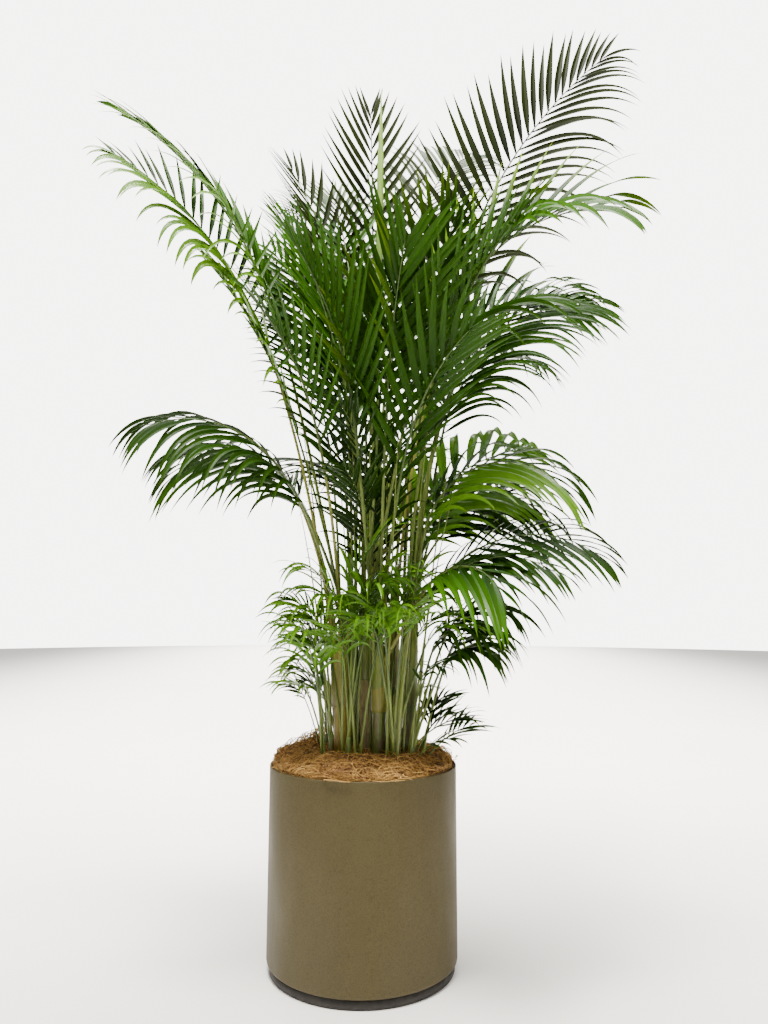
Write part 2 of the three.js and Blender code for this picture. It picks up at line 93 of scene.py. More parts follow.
def ramp(tree, source, *stops):
    node = tree.nodes.new("ShaderNodeValToRGB")
    while len(node.color_ramp.elements) < len(stops):
        node.color_ramp.elements.new(0.5)
    for element, (place, colour) in zip(node.color_ramp.elements, stops):
        element.position = place
        element.color = (*colour, 1) if isinstance(colour, tuple) else (colour,) * 3 + (1,)
    tree.links.new(source, node.inputs["Fac"])
    return node.outputs["Color"]


floor_material, tree, shader = bare_material("pale_floor", (0.80, 0.78, 0.74), 0.55)
place = tree.nodes.new("ShaderNodeTexCoord").outputs["Object"]
cloud = add_node(tree, "TexNoise", {"Scale": 1.4, "Detail": 3, "Vector": place})
tone = ramp(tree, cloud.outputs["Fac"], (0.0, (0.76, 0.74, 0.70)), (1.0, (0.84, 0.82, 0.79)))
# From 3 m out the floor is painted paler towards its edge: painted light that evens out its darker fall-off
# towards the horizon.
FAR_LIGHT_FROM, FLOOR_RADIUS = 3, 14
far = add_node(tree, "VectorMath", {0: place}, operation="LENGTH")
painted_far_light = add_node(tree, "MapRange",
                {"From Min": FAR_LIGHT_FROM, "From Max": FLOOR_RADIUS - 1, "Value": far.outputs["Value"]})
pale = blend_colour(tree, painted_far_light.outputs["Result"], tone, (1.0, 1.0, 0.98))
paint(tree, shader, pale)
plane = bmesh.new()
bmesh.ops.create_circle(plane, cap_ends=True, segments=64, radius=FLOOR_RADIUS)
floor = keep(plane, "floor", floor_material)

LIGHT_GIVEN, LIGHT_SEEN = 0.17, 6.5
world = bpy.data.worlds.new("white_room")
world.use_nodes = True
tree = world.node_tree
tree.nodes["Background"].inputs["Color"].default_value = (1.0, 0.975, 0.935, 1)
seen = tree.nodes.new("ShaderNodeLightPath")
glow = add_node(tree, "MapRange", {
    "To Min": LIGHT_GIVEN, "To Max": LIGHT_SEEN, "Value": seen.outputs["Is Camera Ray"]})
tree.links.new(glow.outputs["Result"], tree.nodes["Background"].inputs["Strength"])
bpy.context.scene.world = world


def lamp(name, place, aim, size, watts, colour):
    light = bpy.data.lights.new(name, "AREA")
    light.shape = "RECTANGLE"
    light.size, light.size_y = size
    light.energy = watts
    light.color = colour
    holder = bpy.data.objects.new(name, light)
    bpy.context.scene.collection.objects.link(holder)
    x, y, z = (aim[i] - place[i] for i in range(3))
    holder.location = place
    holder.rotation_euler = (math.atan2(math.hypot(x, y), -z), 0, math.atan2(y, x) - math.pi / 2)
    return holder


lamp("ceiling_softbox", (-0.4, -1.4, 6.4), (0, 0, 1.0), (1.6, 1.1), 1050, (1, 0.97, 0.90))
lamp("left_softbox", (-2.4, -1.9, 1.9), (0, 0, 1.0), (0.9, 1.2), 20, (1, 0.97, 0.91))
lamp("right_softbox", (2.6, -1.2, 2.2), (0, 0, 1.2), (0.9, 1.2), 26, (1, 0.97, 0.91))
lamp("back_softbox", (0.4, 3.2, 5.2), (0, 0, 1.4), (1.8, 1.4), 25, (1, 0.98, 0.93))
daylight = bpy.data.lights.new("roof_light", "SUN")
daylight.energy = 2.6
daylight.angle = math.radians(50)
daylight.color = (1, 0.97, 0.92)
skylight = bpy.data.objects.new("roof_light", daylight)
skylight.rotation_euler = (math.radians(14), 0, 0)
bpy.context.scene.collection.objects.link(skylight)
wash = lamp("floor_wash", (0, 7.5, 5.0), (0, 7.5, 0), (14, 7), 2200, (1, 0.97, 0.92))
wash.data.spread = math.radians(60)

# The photograph's focal length and its long side, in pixels
FOCAL, LONG_SIDE = 790, 1024
camera = bpy.data.cameras.new("camera")
camera.sensor_width = 36
camera.lens = FOCAL * camera.sensor_width / LONG_SIDE
viewer = bpy.data.objects.new("camera", camera)
viewer.location = (0.044, -1.761, 0.746)
viewer.rotation_euler = (math.radians(90 + 6.85), math.radians(-0.16), 0)
bpy.context.scene.collection.objects.link(viewer)
bpy.context.scene.camera = viewer


# The planter: a straight drum moulded in a light composite with a matte taupe coat,
# 400 mm across, with a thin flat rim. Its floor is closed and it is filled to just
# below the rim. The coat is slightly cloudy, with fine specks and a few rubbed marks.
def spun(profile, steps):
    """A closed turned shape from its outline, given as (radius, height)."""
    shape = bmesh.new()
    ring = [shape.verts.new((r, 0, z)) for r, z in profile]
    edges = [shape.edges.new(pair) for pair in zip(ring, ring[1:])]
    bmesh.ops.spin(shape, geom=ring + edges, cent=(0, 0, 0), axis=(0, 0, 1),
                   angle=math.tau, steps=steps, use_merge=True)
    bmesh.ops.remove_doubles(shape, verts=shape.verts, dist=1e-6)
    bmesh.ops.recalc_face_normals(shape, faces=shape.faces)
    for face in shape.faces:
        face.smooth = True
    return shape


def grain_group():
    group = bpy.data.node_groups.new("fine_grain", "ShaderNodeTree")
    for name, way, kind in (("Vector", "INPUT", "Vector"), ("Scale", "INPUT", "Float"),
                            ("Stretch", "INPUT", "Vector"), ("Mask", "OUTPUT", "Float")):
        group.interface.new_socket(name, in_out=way, socket_type="NodeSocket" + kind)
    start = group.nodes.new("NodeGroupInput").outputs
    drawn_out = add_node(group, "VectorMath", {0: start["Vector"], 1: start["Stretch"]}, operation="MULTIPLY")
    coarse = add_node(group, "TexNoise", {
        "Vector": drawn_out.outputs[0], "Scale": start["Scale"], "Detail": 6, "Roughness": 0.65})
    group.links.new(coarse.outputs["Fac"], group.nodes.new("NodeGroupOutput").inputs["Mask"])
    return group


fine_grain = grain_group()


def grained(tree, scale, stretch=(1, 1, 1)):
    node = tree.nodes.new("ShaderNodeGroup")
    node.node_tree = fine_grain
    tree.links.new(tree.nodes.new("ShaderNodeTexCoord").outputs["Object"], node.inputs["Vector"])
    node.inputs["Scale"].default_value = scale
    node.inputs["Stretch"].default_value = stretch
    return node.outputs["Mask"]


def bumped(tree, shader, height, strength, distance):
    bump = add_node(tree, "Bump", {"Strength": strength, "Distance": distance, "Height": height})
    tree.links.new(bump.outputs["Normal"], shader.inputs["Normal"])


planter_coat, tree, shader = bare_material("taupe_coat", (0.108, 0.082, 0.037), 0.62)
shader.inputs["Specular IOR Level"].default_value = 0.2
cloudy = grained(tree, 2.2, (1, 1, 0.5))
specks = grained(tree, 420)
rubbed = grained(tree, 9, (1, 1, 0.25))
base = ramp(tree, cloudy, (0.3, (0.050, 0.039, 0.0145)), (0.7, (0.067, 0.053, 0.0205)))
speckled = ramp(tree, specks, (0.34, 0.72), (0.5, 1.0), (0.68, 1.16))
coat = blend_colour(tree, 1.0, base, speckled, "MULTIPLY")
paint(tree, shader, coat)
rough = ramp(tree, rubbed, (0.35, 0.5), (0.7, 0.72))
tree.links.new(rough, shader.inputs["Roughness"])
bumped(tree, shader, specks, 0.12, 0.0006)

# The drum's radii outside and inside, and the heights of its rim, underside and floor
OUTER, INNER, RIM, UNDER, FLOOR_TOP = 0.200, 0.194, 0.413, 0.0195, 0.0295
drum = spun([(0, UNDER), (OUTER - 0.0080, UNDER), (OUTER - 0.0035, UNDER + 0.0005),
             (OUTER - 0.0008, UNDER + 0.0027), (OUTER, UNDER + 0.0065), (OUTER, RIM - 0.0025),
             (OUTER - 0.0006, RIM - 0.0006), (OUTER - 0.0018, RIM), (INNER + 0.0018, RIM),
             (INNER + 0.0006, RIM - 0.0006), (INNER, RIM - 0.0025), (INNER, FLOOR_TOP),
             (0, FLOOR_TOP)], 160)
planter = keep(drum, "planter_drum", planter_coat, "pot")
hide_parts("pot")


# The dark base: a flat disc of near-black moulding, set back a few millimetres under
# the drum, that keeps it off the floor. It shows as a thin shadow line all round.
def grainy(name, colour, rough, scale, stops, strength, distance):
    """A finish whose colour and relief follow one fine grain."""
    material, tree, shader = bare_material(name, colour, rough)
    grain = grained(tree, scale)
    paint(tree, shader, ramp(tree, grain, *stops))
    bumped(tree, shader, grain, strength, distance)
    return material


foot_black = grainy("foot_black", (0.014, 0.011, 0.009), 0.7, 60,
                    ((0.4, (0.010, 0.008, 0.007)), (0.8, (0.030, 0.024, 0.018))), 0.15, 0.0008)
BASE, BASE_TOP = OUTER - 0.006, UNDER - 0.0003
base_disc = spun([(0, 0), (BASE - 0.0015, 0), (BASE, 0.0015), (BASE, BASE_TOP), (0, BASE_TOP)], 128)
foot = keep(base_disc, "planter_foot", foot_black, "pot_foot")
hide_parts("pot_foot")


# The root ball: dark moist potting mix that fills the drum under the mulch. The coir hides
# it, so it stays the frame's own solid and only gets an earthy finish.
earth = grainy("potting_mix", (0.045, 0.026, 0.014), 0.95, 130,
               ((0.35, (0.018, 0.010, 0.006)), (0.75, (0.075, 0.045, 0.025))), 0.6, 0.004)
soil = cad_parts["root_ball"]
soil.data.materials.clear()
soil.data.materials.append(earth)


# The coir: a loose mat of ginger coconut fibres teased out by hand over the mix, mounded
# round the canes and a little higher at the back left. A lumpy bed lies under some
# thousands of single curled fibres, a few of which reach over the rim.
rng = np.random.default_rng(291)
PLATEAU, MULCH_EDGE = 0.422, 0.405
FLAT, INSIDE = 0.114, 0.1937


def mulch_height(x, y):
    """The mulch is flat round the canes and falls, with lumps, to the drum's inner side."""
    r = np.hypot(x - 0.025 * np.clip((INSIDE - np.hypot(x, y)) / 0.08, 0, 1), y)
    angle = np.arctan2(y, x)
    t = np.clip((r - FLAT) / (INNER - FLAT), 0, 1)
    lumps = np.sin(3 * angle + 0.7) + 0.7 * np.sin(7 * angle + 2) + np.cos(angle - math.radians(140))
    return PLATEAU + (MULCH_EDGE - PLATEAU) * t * t + 0.004 * lumps * np.sin(math.pi * t)


def read_attribute(tree, name):
    node = tree.nodes.new("ShaderNodeAttribute")
    node.attribute_name = name
    return node.outputs["Fac"]


coir_material, tree, shader = bare_material("coir_fibre", (0.42, 0.22, 0.09), 0.85)
paint(tree, shader, ramp(
    tree, read_attribute(tree, "tint"), (0.0, (0.12, 0.052, 0.012)), (0.35, (0.36, 0.190, 0.042)),
    (0.75, (0.50, 0.275, 0.070)), (1.0, (0.58, 0.355, 0.11))))
bed_material = grainy("coir_bed", (0.30, 0.14, 0.055), 0.95, 95,
                      ((0.3, (0.045, 0.018, 0.005)), (0.5, (0.15, 0.065, 0.018)),
                       (0.75, (0.34, 0.17, 0.05))), 1.0, 0.006)


def corners_of(geom):
    return [v for v in geom if isinstance(v, bmesh.types.BMVert)]


BED_UNDER = 0.3925
bed = bmesh.new()
bmesh.ops.create_circle(bed, cap_ends=False, segments=96, radius=INSIDE)
rim_edges = bed.edges[:]
for radius in (0.185, 0.172, 0.158, 0.142, 0.124, 0.104, 0.082, 0.058, 0.032, 0.010):
    grown = bmesh.ops.extrude_edge_only(bed, edges=rim_edges)["geom"]
    rim_edges = [e for e in grown if isinstance(e, bmesh.types.BMEdge)]
    for v in corners_of(grown):
        v.co *= radius / max(v.co.length, 1e-9)
bmesh.ops.contextual_create(bed, geom=rim_edges)
for v in bed.verts:
    r = math.hypot(v.co.x, v.co.y)
    v.co.z = float(mulch_height(v.co.x, v.co.y)) + (rng.random() - 0.5) * 0.005 * (r > 0.03) - 0.0015
under_ring = bmesh.ops.extrude_edge_only(bed, edges=[e for e in bed.edges if e.is_boundary])["geom"]
for v in corners_of(under_ring):
    v.co.z = BED_UNDER
bmesh.ops.contextual_create(bed, geom=[e for e in bed.edges if e.is_boundary])
bmesh.ops.recalc_face_normals(bed, faces=bed.faces)
for face in bed.faces:
    face.smooth = len(face.verts) < 5
coir_bed = keep(bed, "coir_bed", bed_material, "coir")
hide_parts("coir_mulch")


def array_mesh(name, points, faces, tint, material):
    """A smooth mesh from arrays, with one tint for each of its points."""
    mesh = bpy.data.meshes.new(name)
    mesh.from_pydata(points.reshape(-1, 3).tolist(), [], faces)
    mesh.materials.append(material)
    mesh.polygons.foreach_set("use_smooth", np.ones(len(faces), bool))
    layer = mesh.attributes.new("tint", "FLOAT", "POINT")
    layer.data.foreach_set("value", tint.astype(np.float32))
    return mesh


def woven(name, rings, tint, material, slot):
    """Capped tubes from rings of points: rings has shape (tubes, stations, sides, 3)."""
    tubes, stations, sides, _ = rings.shape
    start = np.arange(tubes)[:, None, None] * stations * sides
    step = np.arange(stations - 1)[None, :, None] * sides
    side = np.arange(sides)[None, None, :]
    after = (side + 1) % sides
    quads = np.stack([start + step + side, start + step + after,
                      start + step + sides + after, start + step + sides + side], -1).reshape(-1, 4)
    faces = [tuple(q) for q in quads.tolist()]
    for tube in range(tubes):
        first = tube * stations * sides
        last = first + (stations - 1) * sides
        faces.append(tuple(range(first + sides - 1, first - 1, -1)))
        faces.append(tuple(range(last, last + sides)))
    return stand(name, array_mesh(name, rings, faces, np.repeat(tint, stations * sides), material), slot)


def unit(v):
    return v / np.maximum(np.linalg.norm(v, axis=-1, keepdims=True), 1e-9)


def sides_of(paths):
    """The level side and the upper side of each path at each of its points."""
    along = unit(np.gradient(paths, axis=1))
    side = unit(np.cross(along, np.array([0, 0, 1.0])))
    return side, np.cross(side, along)


strands, tufts, stations = 9600, 190, 6
share_over_rim, over_rim, inside_rim = 0.03, 0.2045, 0.1915
tuft = rng.integers(0, tufts, strands)
tuft_spin, tuft_out = rng.random(tufts) * math.tau, 0.186 * np.sqrt(rng.random(tufts))
tuft_turn, tuft_high = rng.random(tufts) * math.tau, rng.uniform(0.2, 1.7, tufts)
tuft_tint = rng.normal(0, 0.16, tufts)
centre = np.stack([tuft_out * np.cos(tuft_spin), tuft_out * np.sin(tuft_spin)], 1)[tuft]
centre += rng.normal(0, 0.016, (strands, 2))
turn = tuft_turn[tuft] + rng.normal(0, 0.75, strands)
curl = rng.normal(0, 34, strands)
length = rng.uniform(0.025, 0.105, strands)
walk = (np.arange(stations) / (stations - 1) - 0.5)[None, :] * length[:, None]
course = turn[:, None] + curl[:, None] * walk
step = length[:, None] / (stations - 1)
x = centre[:, :1] + np.cumsum(np.cos(course) * step, 1) - 0.5 * length[:, None] * np.cos(turn)[:, None]
y = centre[:, 1:] + np.cumsum(np.sin(course) * step, 1) - 0.5 * length[:, None] * np.sin(turn)[:, None]
reach = np.hypot(x, y)
limit = np.where(rng.random(strands) < share_over_rim, over_rim, inside_rim)[:, None]
squeeze = np.minimum(1, limit / np.maximum(reach, 1e-6))
x, y = x * squeeze, y * squeeze
arc = 1 - (np.arange(stations) / (stations - 1) * 2 - 1) ** 2
heaped = 1 + 1.6 * np.exp(-((x + 0.10) ** 2 + (y - 0.10) ** 2) / 0.07 ** 2)
lift = (rng.uniform(0.0, 0.015, strands) * tuft_high[tuft])[:, None] * arc[None, :] * heaped
lift += (rng.uniform(-0.002, 0.003, strands) + 0.004 * tuft_high[tuft])[:, None]
z = mulch_height(np.minimum(x, 0.19), y) + lift + np.where(np.hypot(x, y) > 0.193, 0.006, 0)
z = np.where(np.hypot(x, y) > 0.1925, np.maximum(z, RIM + 0.0012), z)
paths = np.stack([x, y, z], 2)
side, top = sides_of(paths)
thick = rng.uniform(0.0004, 0.0010, strands)[:, None, None]
corners = [side * math.cos(a) + top * math.sin(a) for a in (0, math.tau / 3, 2 * math.tau / 3)]
fibres = np.stack([paths + c * thick for c in corners], 2)
strand_tints = np.clip(rng.random(strands) * 0.9 + tuft_tint[tuft], 0, 1)
for layer, half in (("lower", slice(0, strands // 2)), ("upper", slice(strands // 2, strands))):
    woven(f"coir_fibres_{layer}", fibres[half], strand_tints[half], coir_material, "coir")


# The canes: nine green stems of one clump, ringed by the scars of fallen fronds and
# drawn to a closed spear at the top, where the next frond waits inside the old ones.
# The left pair has ripened to olive gold and one thin cane has gone brown and fibrous.

# Each row: right and back of the planter's axis, height over the mulch (mm), the side it
# leans to and by how much (degrees), radius at the foot and at the mouth (mm)
CANES = {
    "a": (-42, -24, 235, 200, 3.0, 22, 21),
    "b": (-24, 34, 290, 150, 2.5, 20, 21),
    "c": (6, -4, 330, 100, 1.5, 15, 17),
    "d": (33, -44, 215, -70, 2.0, 17, 18),
    "e": (55, 18, 310, 20, 1.5, 18, 19),
    "f": (90, -18, 240, -15, 3.0, 20, 19),
    "g": (66, -64, 150, -40, 4.0, 14, 14),
    "h": (22, 64, 350, 85, 2.0, 19, 20),
    "i": (92, 54, 280, 40, 3.0, 19, 21),
}


def level_way(degrees):
    """The level direction that is turned from the axis' right by some degrees."""
    return np.array([math.cos(math.radians(degrees)), math.sin(math.radians(degrees)), 0])


def cane_centre(cane, z):
    x, y, _, side, lean, _, _ = CANES[cane]
    return np.array([x / 1000, y / 1000, z]) + (z - PLATEAU) * math.tan(math.radians(lean)) * level_way(side)


def cane_radius(cane, climb):
    """Radius at a height over the mulch, without the scars."""
    _, _, height, _, _, foot, mouth = (v / 1000 for v in CANES[cane])
    bare = 0.42 * height
    places = [0, 0.014, bare, bare + 0.012, height - 0.03, height]
    sizes = [foot, 0.9 * foot, 0.82 * mouth, 0.84 * mouth, 0.86 * mouth, 0.72 * mouth]
    return float(np.interp(climb, places, sizes))


def ring_frame(place, across, upper, along):
    """Where a unit circle goes to make one ring of a tube."""
    return Matrix([[across[i], upper[i], along[i], place[i]] for i in range(3)] + [[0, 0, 0, 1]])


def tube(sides, frames, run):
    """One closed tube: a circle is extruded from ring to ring and moved by each frame."""
    shape = bmesh.new()
    mark = shape.verts.layers.float.new("run")
    bmesh.ops.create_circle(shape, cap_ends=False, segments=sides, radius=1, matrix=frames[0])
    edges, ring = shape.edges[:], shape.verts[:]
    for vertex in ring:
        vertex[mark] = run[0]
    bmesh.ops.contextual_create(shape, geom=edges)
    for before, after, value in zip(frames, frames[1:], run[1:]):
        grown = bmesh.ops.extrude_edge_only(shape, edges=edges)["geom"]
        ring = corners_of(grown)
        edges = [e for e in grown
                 if isinstance(e, bmesh.types.BMEdge) and e.verts[0] in ring and e.verts[1] in ring]
        bmesh.ops.transform(shape, matrix=after @ before.inverted(), verts=ring)
        for vertex in ring:
            vertex[mark] = value
    bmesh.ops.contextual_create(shape, geom=edges)
    bmesh.ops.recalc_face_normals(shape, faces=shape.faces)
    for face in shape.faces:
        face.smooth = len(face.verts) == 4
    return shape


def joined(shapes, name, material, slot):
    whole = bmesh.new()
    for shape in shapes:
        part = bpy.data.meshes.new("part")
        shape.to_mesh(part)
        shape.free()
        whole.from_mesh(part)
        bpy.data.meshes.remove(part)
    return keep(whole, name, material, slot)


def skin_finish(name, stops, streak_low, streak_high, bark=None, rough=0.42):
    """A plant skin whose colour changes along the piece, with fine fibres lengthwise."""
    material, tree, shader = bare_material(name, stops[1][1], rough)
    grown = ramp(tree, read_attribute(tree, "run"), *stops)
    fibre = grained(tree, 26, (7, 7, 0.4))
    streak = ramp(tree, fibre, (0.32, streak_low), (0.52, 1.0), (0.72, streak_high))
    skin = blend_colour(tree, 1.0, grown, streak, "MULTIPLY")
    if bark:
        worn = grained(tree, 22, (1, 1, 0.4))
        patch = ramp(tree, worn, (0.52, 0.0), (0.64, 1.0))
        skin = blend_colour(tree, patch, skin, bark)
    paint(tree, shader, skin)
    bumped(tree, shader, fibre, 0.35, 0.0012)
    return material


# Each row: its canes, colours from the foot up, dark and light streaks, bark, roughness
CANE_TONES = {
    "golden": ("ab", ((0.0, (0.19, 0.15, 0.015)), (0.3, (0.24, 0.175, 0.015)), (1.0, (0.16, 0.18, 0.025))),
               0.5, 1.5, (0.24, 0.125, 0.015)),
    "green": ("defghi", ((0.0, (0.082, 0.092, 0.015)), (0.3, (0.092, 0.12, 0.016)),
                         (1.0, (0.09, 0.15, 0.02))), 0.45, 1.6, (0.095, 0.068, 0.022)),
    "fibrous": ("c", ((0.0, (0.19, 0.15, 0.07)), (0.3, (0.23, 0.19, 0.08)), (1.0, (0.14, 0.14, 0.03))),
                0.4, 1.6, (0.120, 0.080, 0.036), 0.8),
}
cane_skins = {key: skin_finish(f"{key}_cane", *row) for key, (_, *row) in CANE_TONES.items()}
for tone, (members, *_) in CANE_TONES.items():
    stems = []
    for cane in members:
        height = CANES[cane][2] / 1000
        climbs = sorted({0.0, *np.arange(0.006, height - 0.03, 0.0055),
                         height - 0.03, height - 0.012, height + 0.010})
        phase = rng.random() * math.tau
        frames = []
        for climb in climbs:
            r = cane_radius(cane, min(climb, height))
            if climb < 0.42 * height:
                scar = abs((climb + 0.028) % 0.055 - 0.0275)
                r += 0.0013 * math.exp(-(scar / 0.003) ** 2)
            r *= 0.35 if climb > height else 1
            wobble = 1 + 0.03 * math.sin(9 * climb / height + phase)
            across = np.array([math.cos(phase), math.sin(phase), 0]) * r * wobble
            upper = np.array([-math.sin(phase), math.cos(phase), 0]) * r / wobble
            frames.append(ring_frame(cane_centre(cane, PLATEAU - 0.004 + climb), across, upper, (0, 0, 1)))
        stems.append(tube(20, frames, [climb / height for climb in climbs]))
    clump = joined(stems, f"canes_{tone}", cane_skins[tone], "cane")
    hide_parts(*[f"cane_{cane}" for cane in members])


# The frond stalks and ribs: each stiff stalk swells below into a sheath that wraps its
# cane like a sleeve, the oldest outermost, and runs on above as the rib of the blade,
# thinning all the way. Sheath, stalk and rib are one piece, olive to golden.

# Each row: its cane, where on the cane it sits (degrees), the FIELDS in millimetres and
# degrees, the greens of its two ranks of leaflets, and its stalk's skin. A darker green for a
# frond at the back, low down or in the shade is painted shade, and the lighter fresh green of
# a rank that faces the lamps is partly painted light.
FIELDS = ("heading", "lean", "bow", "stalk", "blade", "arch", "roll", "leaf", "spread", "rise", "droop")
FRONDS = [
    ("high_right", "i", 145, 10, -1, 19, 770, 860, 30, 70, 300, 60, 12, 12, "dusky", "dusky"),
    ("arch_right", "e", -45, -20, 4, 17, 670, 440, 85, 65, 290, 56, 8, 60, "tipped/mid", "golden"),
    ("back_right", "h", -50, 60, -2, 22, 780, 860, 45, 25, 260, 54, 20, 50, "deep", "green"),
    ("mid_right", "f", 45, -5, 1, 13, 480, 480, 80, 45, 290, 56, 0, 60, "mid", "olive"),
    ("mid_right_back", "i", -65, 35, 9, 5, 450, 470, 90, 30, 240, 56, 0, 65, "deep", "green"),
    ("low_right_a", "f", -50, -10, -2, 16, 240, 410, 135, 35, 255, 56, -10, 60, "mid/fresh", "olive"),
    ("low_right_b", "i", -140, -5, 3, 31, 220, 310, 115, 35, 235, 56, -10, 60, "deep", "green"),
    ("low_right_c", "g", -10, -15, 0, 35, 200, 420, 95, 35, 210, 56, -10, 55, "deep", "olive"),
    ("low_right_d", "d", 0, -45, 40, -3, 160, 250, 115, 25, 240, 56, -15, 60, "mid", "golden"),
    ("cross_right", "a", 5, 20, 15, 25, 300, 390, 40, 50, 240, 50, 0, 40, "fresh", "golden"),
    ("high_left", "b", 165, 190, 11, 4, 640, 690, 45, -20, 250, 44, 0, 60, "fresh/mid", "olive"),
    ("arch_left", "a", 150, 185, 8, 10, 620, 650, 42, -20, 220, 46, -5, 65, "fresh/mid", "golden"),
    ("low_left", "a", -140, 205, 6, 20, 320, 390, 90, -30, 270, 50, -20, 70, "deep", "golden"),
    ("low_left_back", "b", -105, 180, 16, 13, 290, 350, 110, -40, 260, 54, -20, 65, "deep", "green"),
    ("centre_high", "h", 90, 100, 3, 1, 780, 500, 5, 0, 240, 46, 15, 15, "dusky", "dusky"),
    ("centre_left", "b", -15, 115, -2, 6, 570, 560, 30, -10, 260, 54, 10, 20, "mid", "olive"),
    ("centre_front", "c", -40, -55, 18, 2, 480, 350, 10, 10, 260, 48, 10, 20, "tipped", "olive"),
    ("centre_lean_left", "c", 175, 175, -2, 13, 420, 520, 15, -25, 230, 50, 0, 40, "mid", "olive"),
    ("back_a", "h", 160, 100, 11, -2, 520, 620, 50, 0, 260, 56, 10, 50, "deep", "green"),
    ("back_b", "i", 75, 65, 5, 10, 580, 560, 50, 0, 250, 56, 10, 50, "deep", "green"),
    ("back_c", "b", 75, 120, 4, 8, 550, 580, 65, 0, 255, 56, 10, 50, "deep", "green"),
    ("low_back_a", "h", 20, 80, 5, 20, 260, 370, 100, 0, 230, 56, 0, 55, "deep", "green"),
    ("low_back_b", "h", -130, 125, 11, 25, 250, 350, 80, 0, 230, 56, 0, 55, "deep", "green"),
    ("low_back_c", "i", 5, 50, 6, 26, 260, 370, 85, 0, 225, 56, 0, 55, "deep", "green"),
    ("front_a", "d", -90, -80, 3, 9, 460, 420, 45, -25, 285, 44, 22, 28, "mid", "olive"),
    ("front_b", "d", 170, -125, 7, 4, 490, 400, 45, -35, 280, 44, 22, 32, "mid", "olive"),
    ("front_right", "f", -150, -50, 3, 13, 500, 450, 45, 35, 280, 44, 22, 32, "tipped/mid", "olive"),
    ("mid_left", "a", 80, 140, 1, 7, 380, 490, 45, -20, 180, 54, 10, 50, "deep", "green"),
    ("front_left", "a", -65, 235, 4, 15, 440, 330, 45, -35, 230, 46, 20, 38, "mid", "golden"),
]


def read_frond(values):
    f = dict(zip(FIELDS, values))
    for key in ("stalk", "blade", "leaf"):
        f[key] /= 1000
    return f


def frond_places(f, start, s):
    """Point, along, upper and across at each length s of the frond that starts there."""
    def lean(at):
        a = np.minimum(at / f["stalk"], 1)
        u = np.maximum(0, (at - f["stalk"]) / f["blade"])
        return np.radians(f["lean"] + f["bow"] * a ** 1.3 + f["arch"] * u ** 1.25)

    def towards(angle):
        h = math.radians(f["heading"])
        return np.stack([np.sin(angle) * math.cos(h), np.sin(angle) * math.sin(h), np.cos(angle)], -1)

    steps = 96
    ds = (f["stalk"] + f["blade"]) / steps
    track = np.vstack([[0, 0, 0], np.cumsum(towards(lean((np.arange(steps) + 0.5) * ds)) * ds, 0)]) + start
    marks = np.arange(steps + 1) * ds
    point = np.stack([np.interp(s, marks, track[:, i]) for i in range(3)], -1)
    along = towards(lean(s))
    level = towards(lean(s) - math.pi / 2)
    across = np.cross(along, level)
    roll = np.radians(f["roll"]) * np.minimum(1, s / (f["stalk"] + 0.3 * f["blade"]))[:, None]
    upper = level * np.cos(roll) + across * np.sin(roll)
    return point, along, upper, np.cross(along, upper)


def rib_size(f, s):
    """Width and depth of the stalk and rib, from the sheath to the blade and to the tip."""
    scale = min(1, 0.25 + f["leaf"] / 0.33)
    u = np.clip((s - f["stalk"]) / f["blade"], 0, 1)
    a = np.clip(s / f["stalk"], 0, 1)
    wide = np.where(s < f["stalk"], 8.4 + (6.2 - 8.4) * a, 6.2 + (1.8 - 6.2) * u) / 1000
    deep = np.where(s < f["stalk"], 8.0 + (6.6 - 8.0) * a, 6.6 + (2.0 - 6.6) * u) / 1000
    return scale * wide, scale * deep


def frond_start(cane, slot):
    mouth = (CANES[cane][6] - 7) / 1000
    return cane_centre(cane, PLATEAU + CANES[cane][2] / 1000) + mouth * level_way(slot)


def smooth(t):
    t = min(1, max(0, t))
    return t * t * (3 - 2 * t)


def rib_places(f, start, count):
    """Where the rings of the stalk and rib go, closer together in the first 140 mm."""
    lengths = np.concatenate([np.linspace(0.0, 0.14, 8, endpoint=False),
                              np.linspace(0.14, 0.997 * (f["stalk"] + f["blade"]), count)])
    lengths = lengths[lengths < 0.999 * (f["stalk"] + f["blade"])]
    point, along, upper, across = frond_places(f, start, lengths)
    wide, deep = rib_size(f, lengths)
    return lengths, point, along, upper, across, wide / 2, deep / 2


# A stalk's half width and half depth inside its sheath's mouth and just above it, and
# the length over which it turns from its place on the cane to its heading
LEAVING, ABOVE, TURN_OVER = (0.0105, 0.0062), (0.0098, 0.0060), 0.11


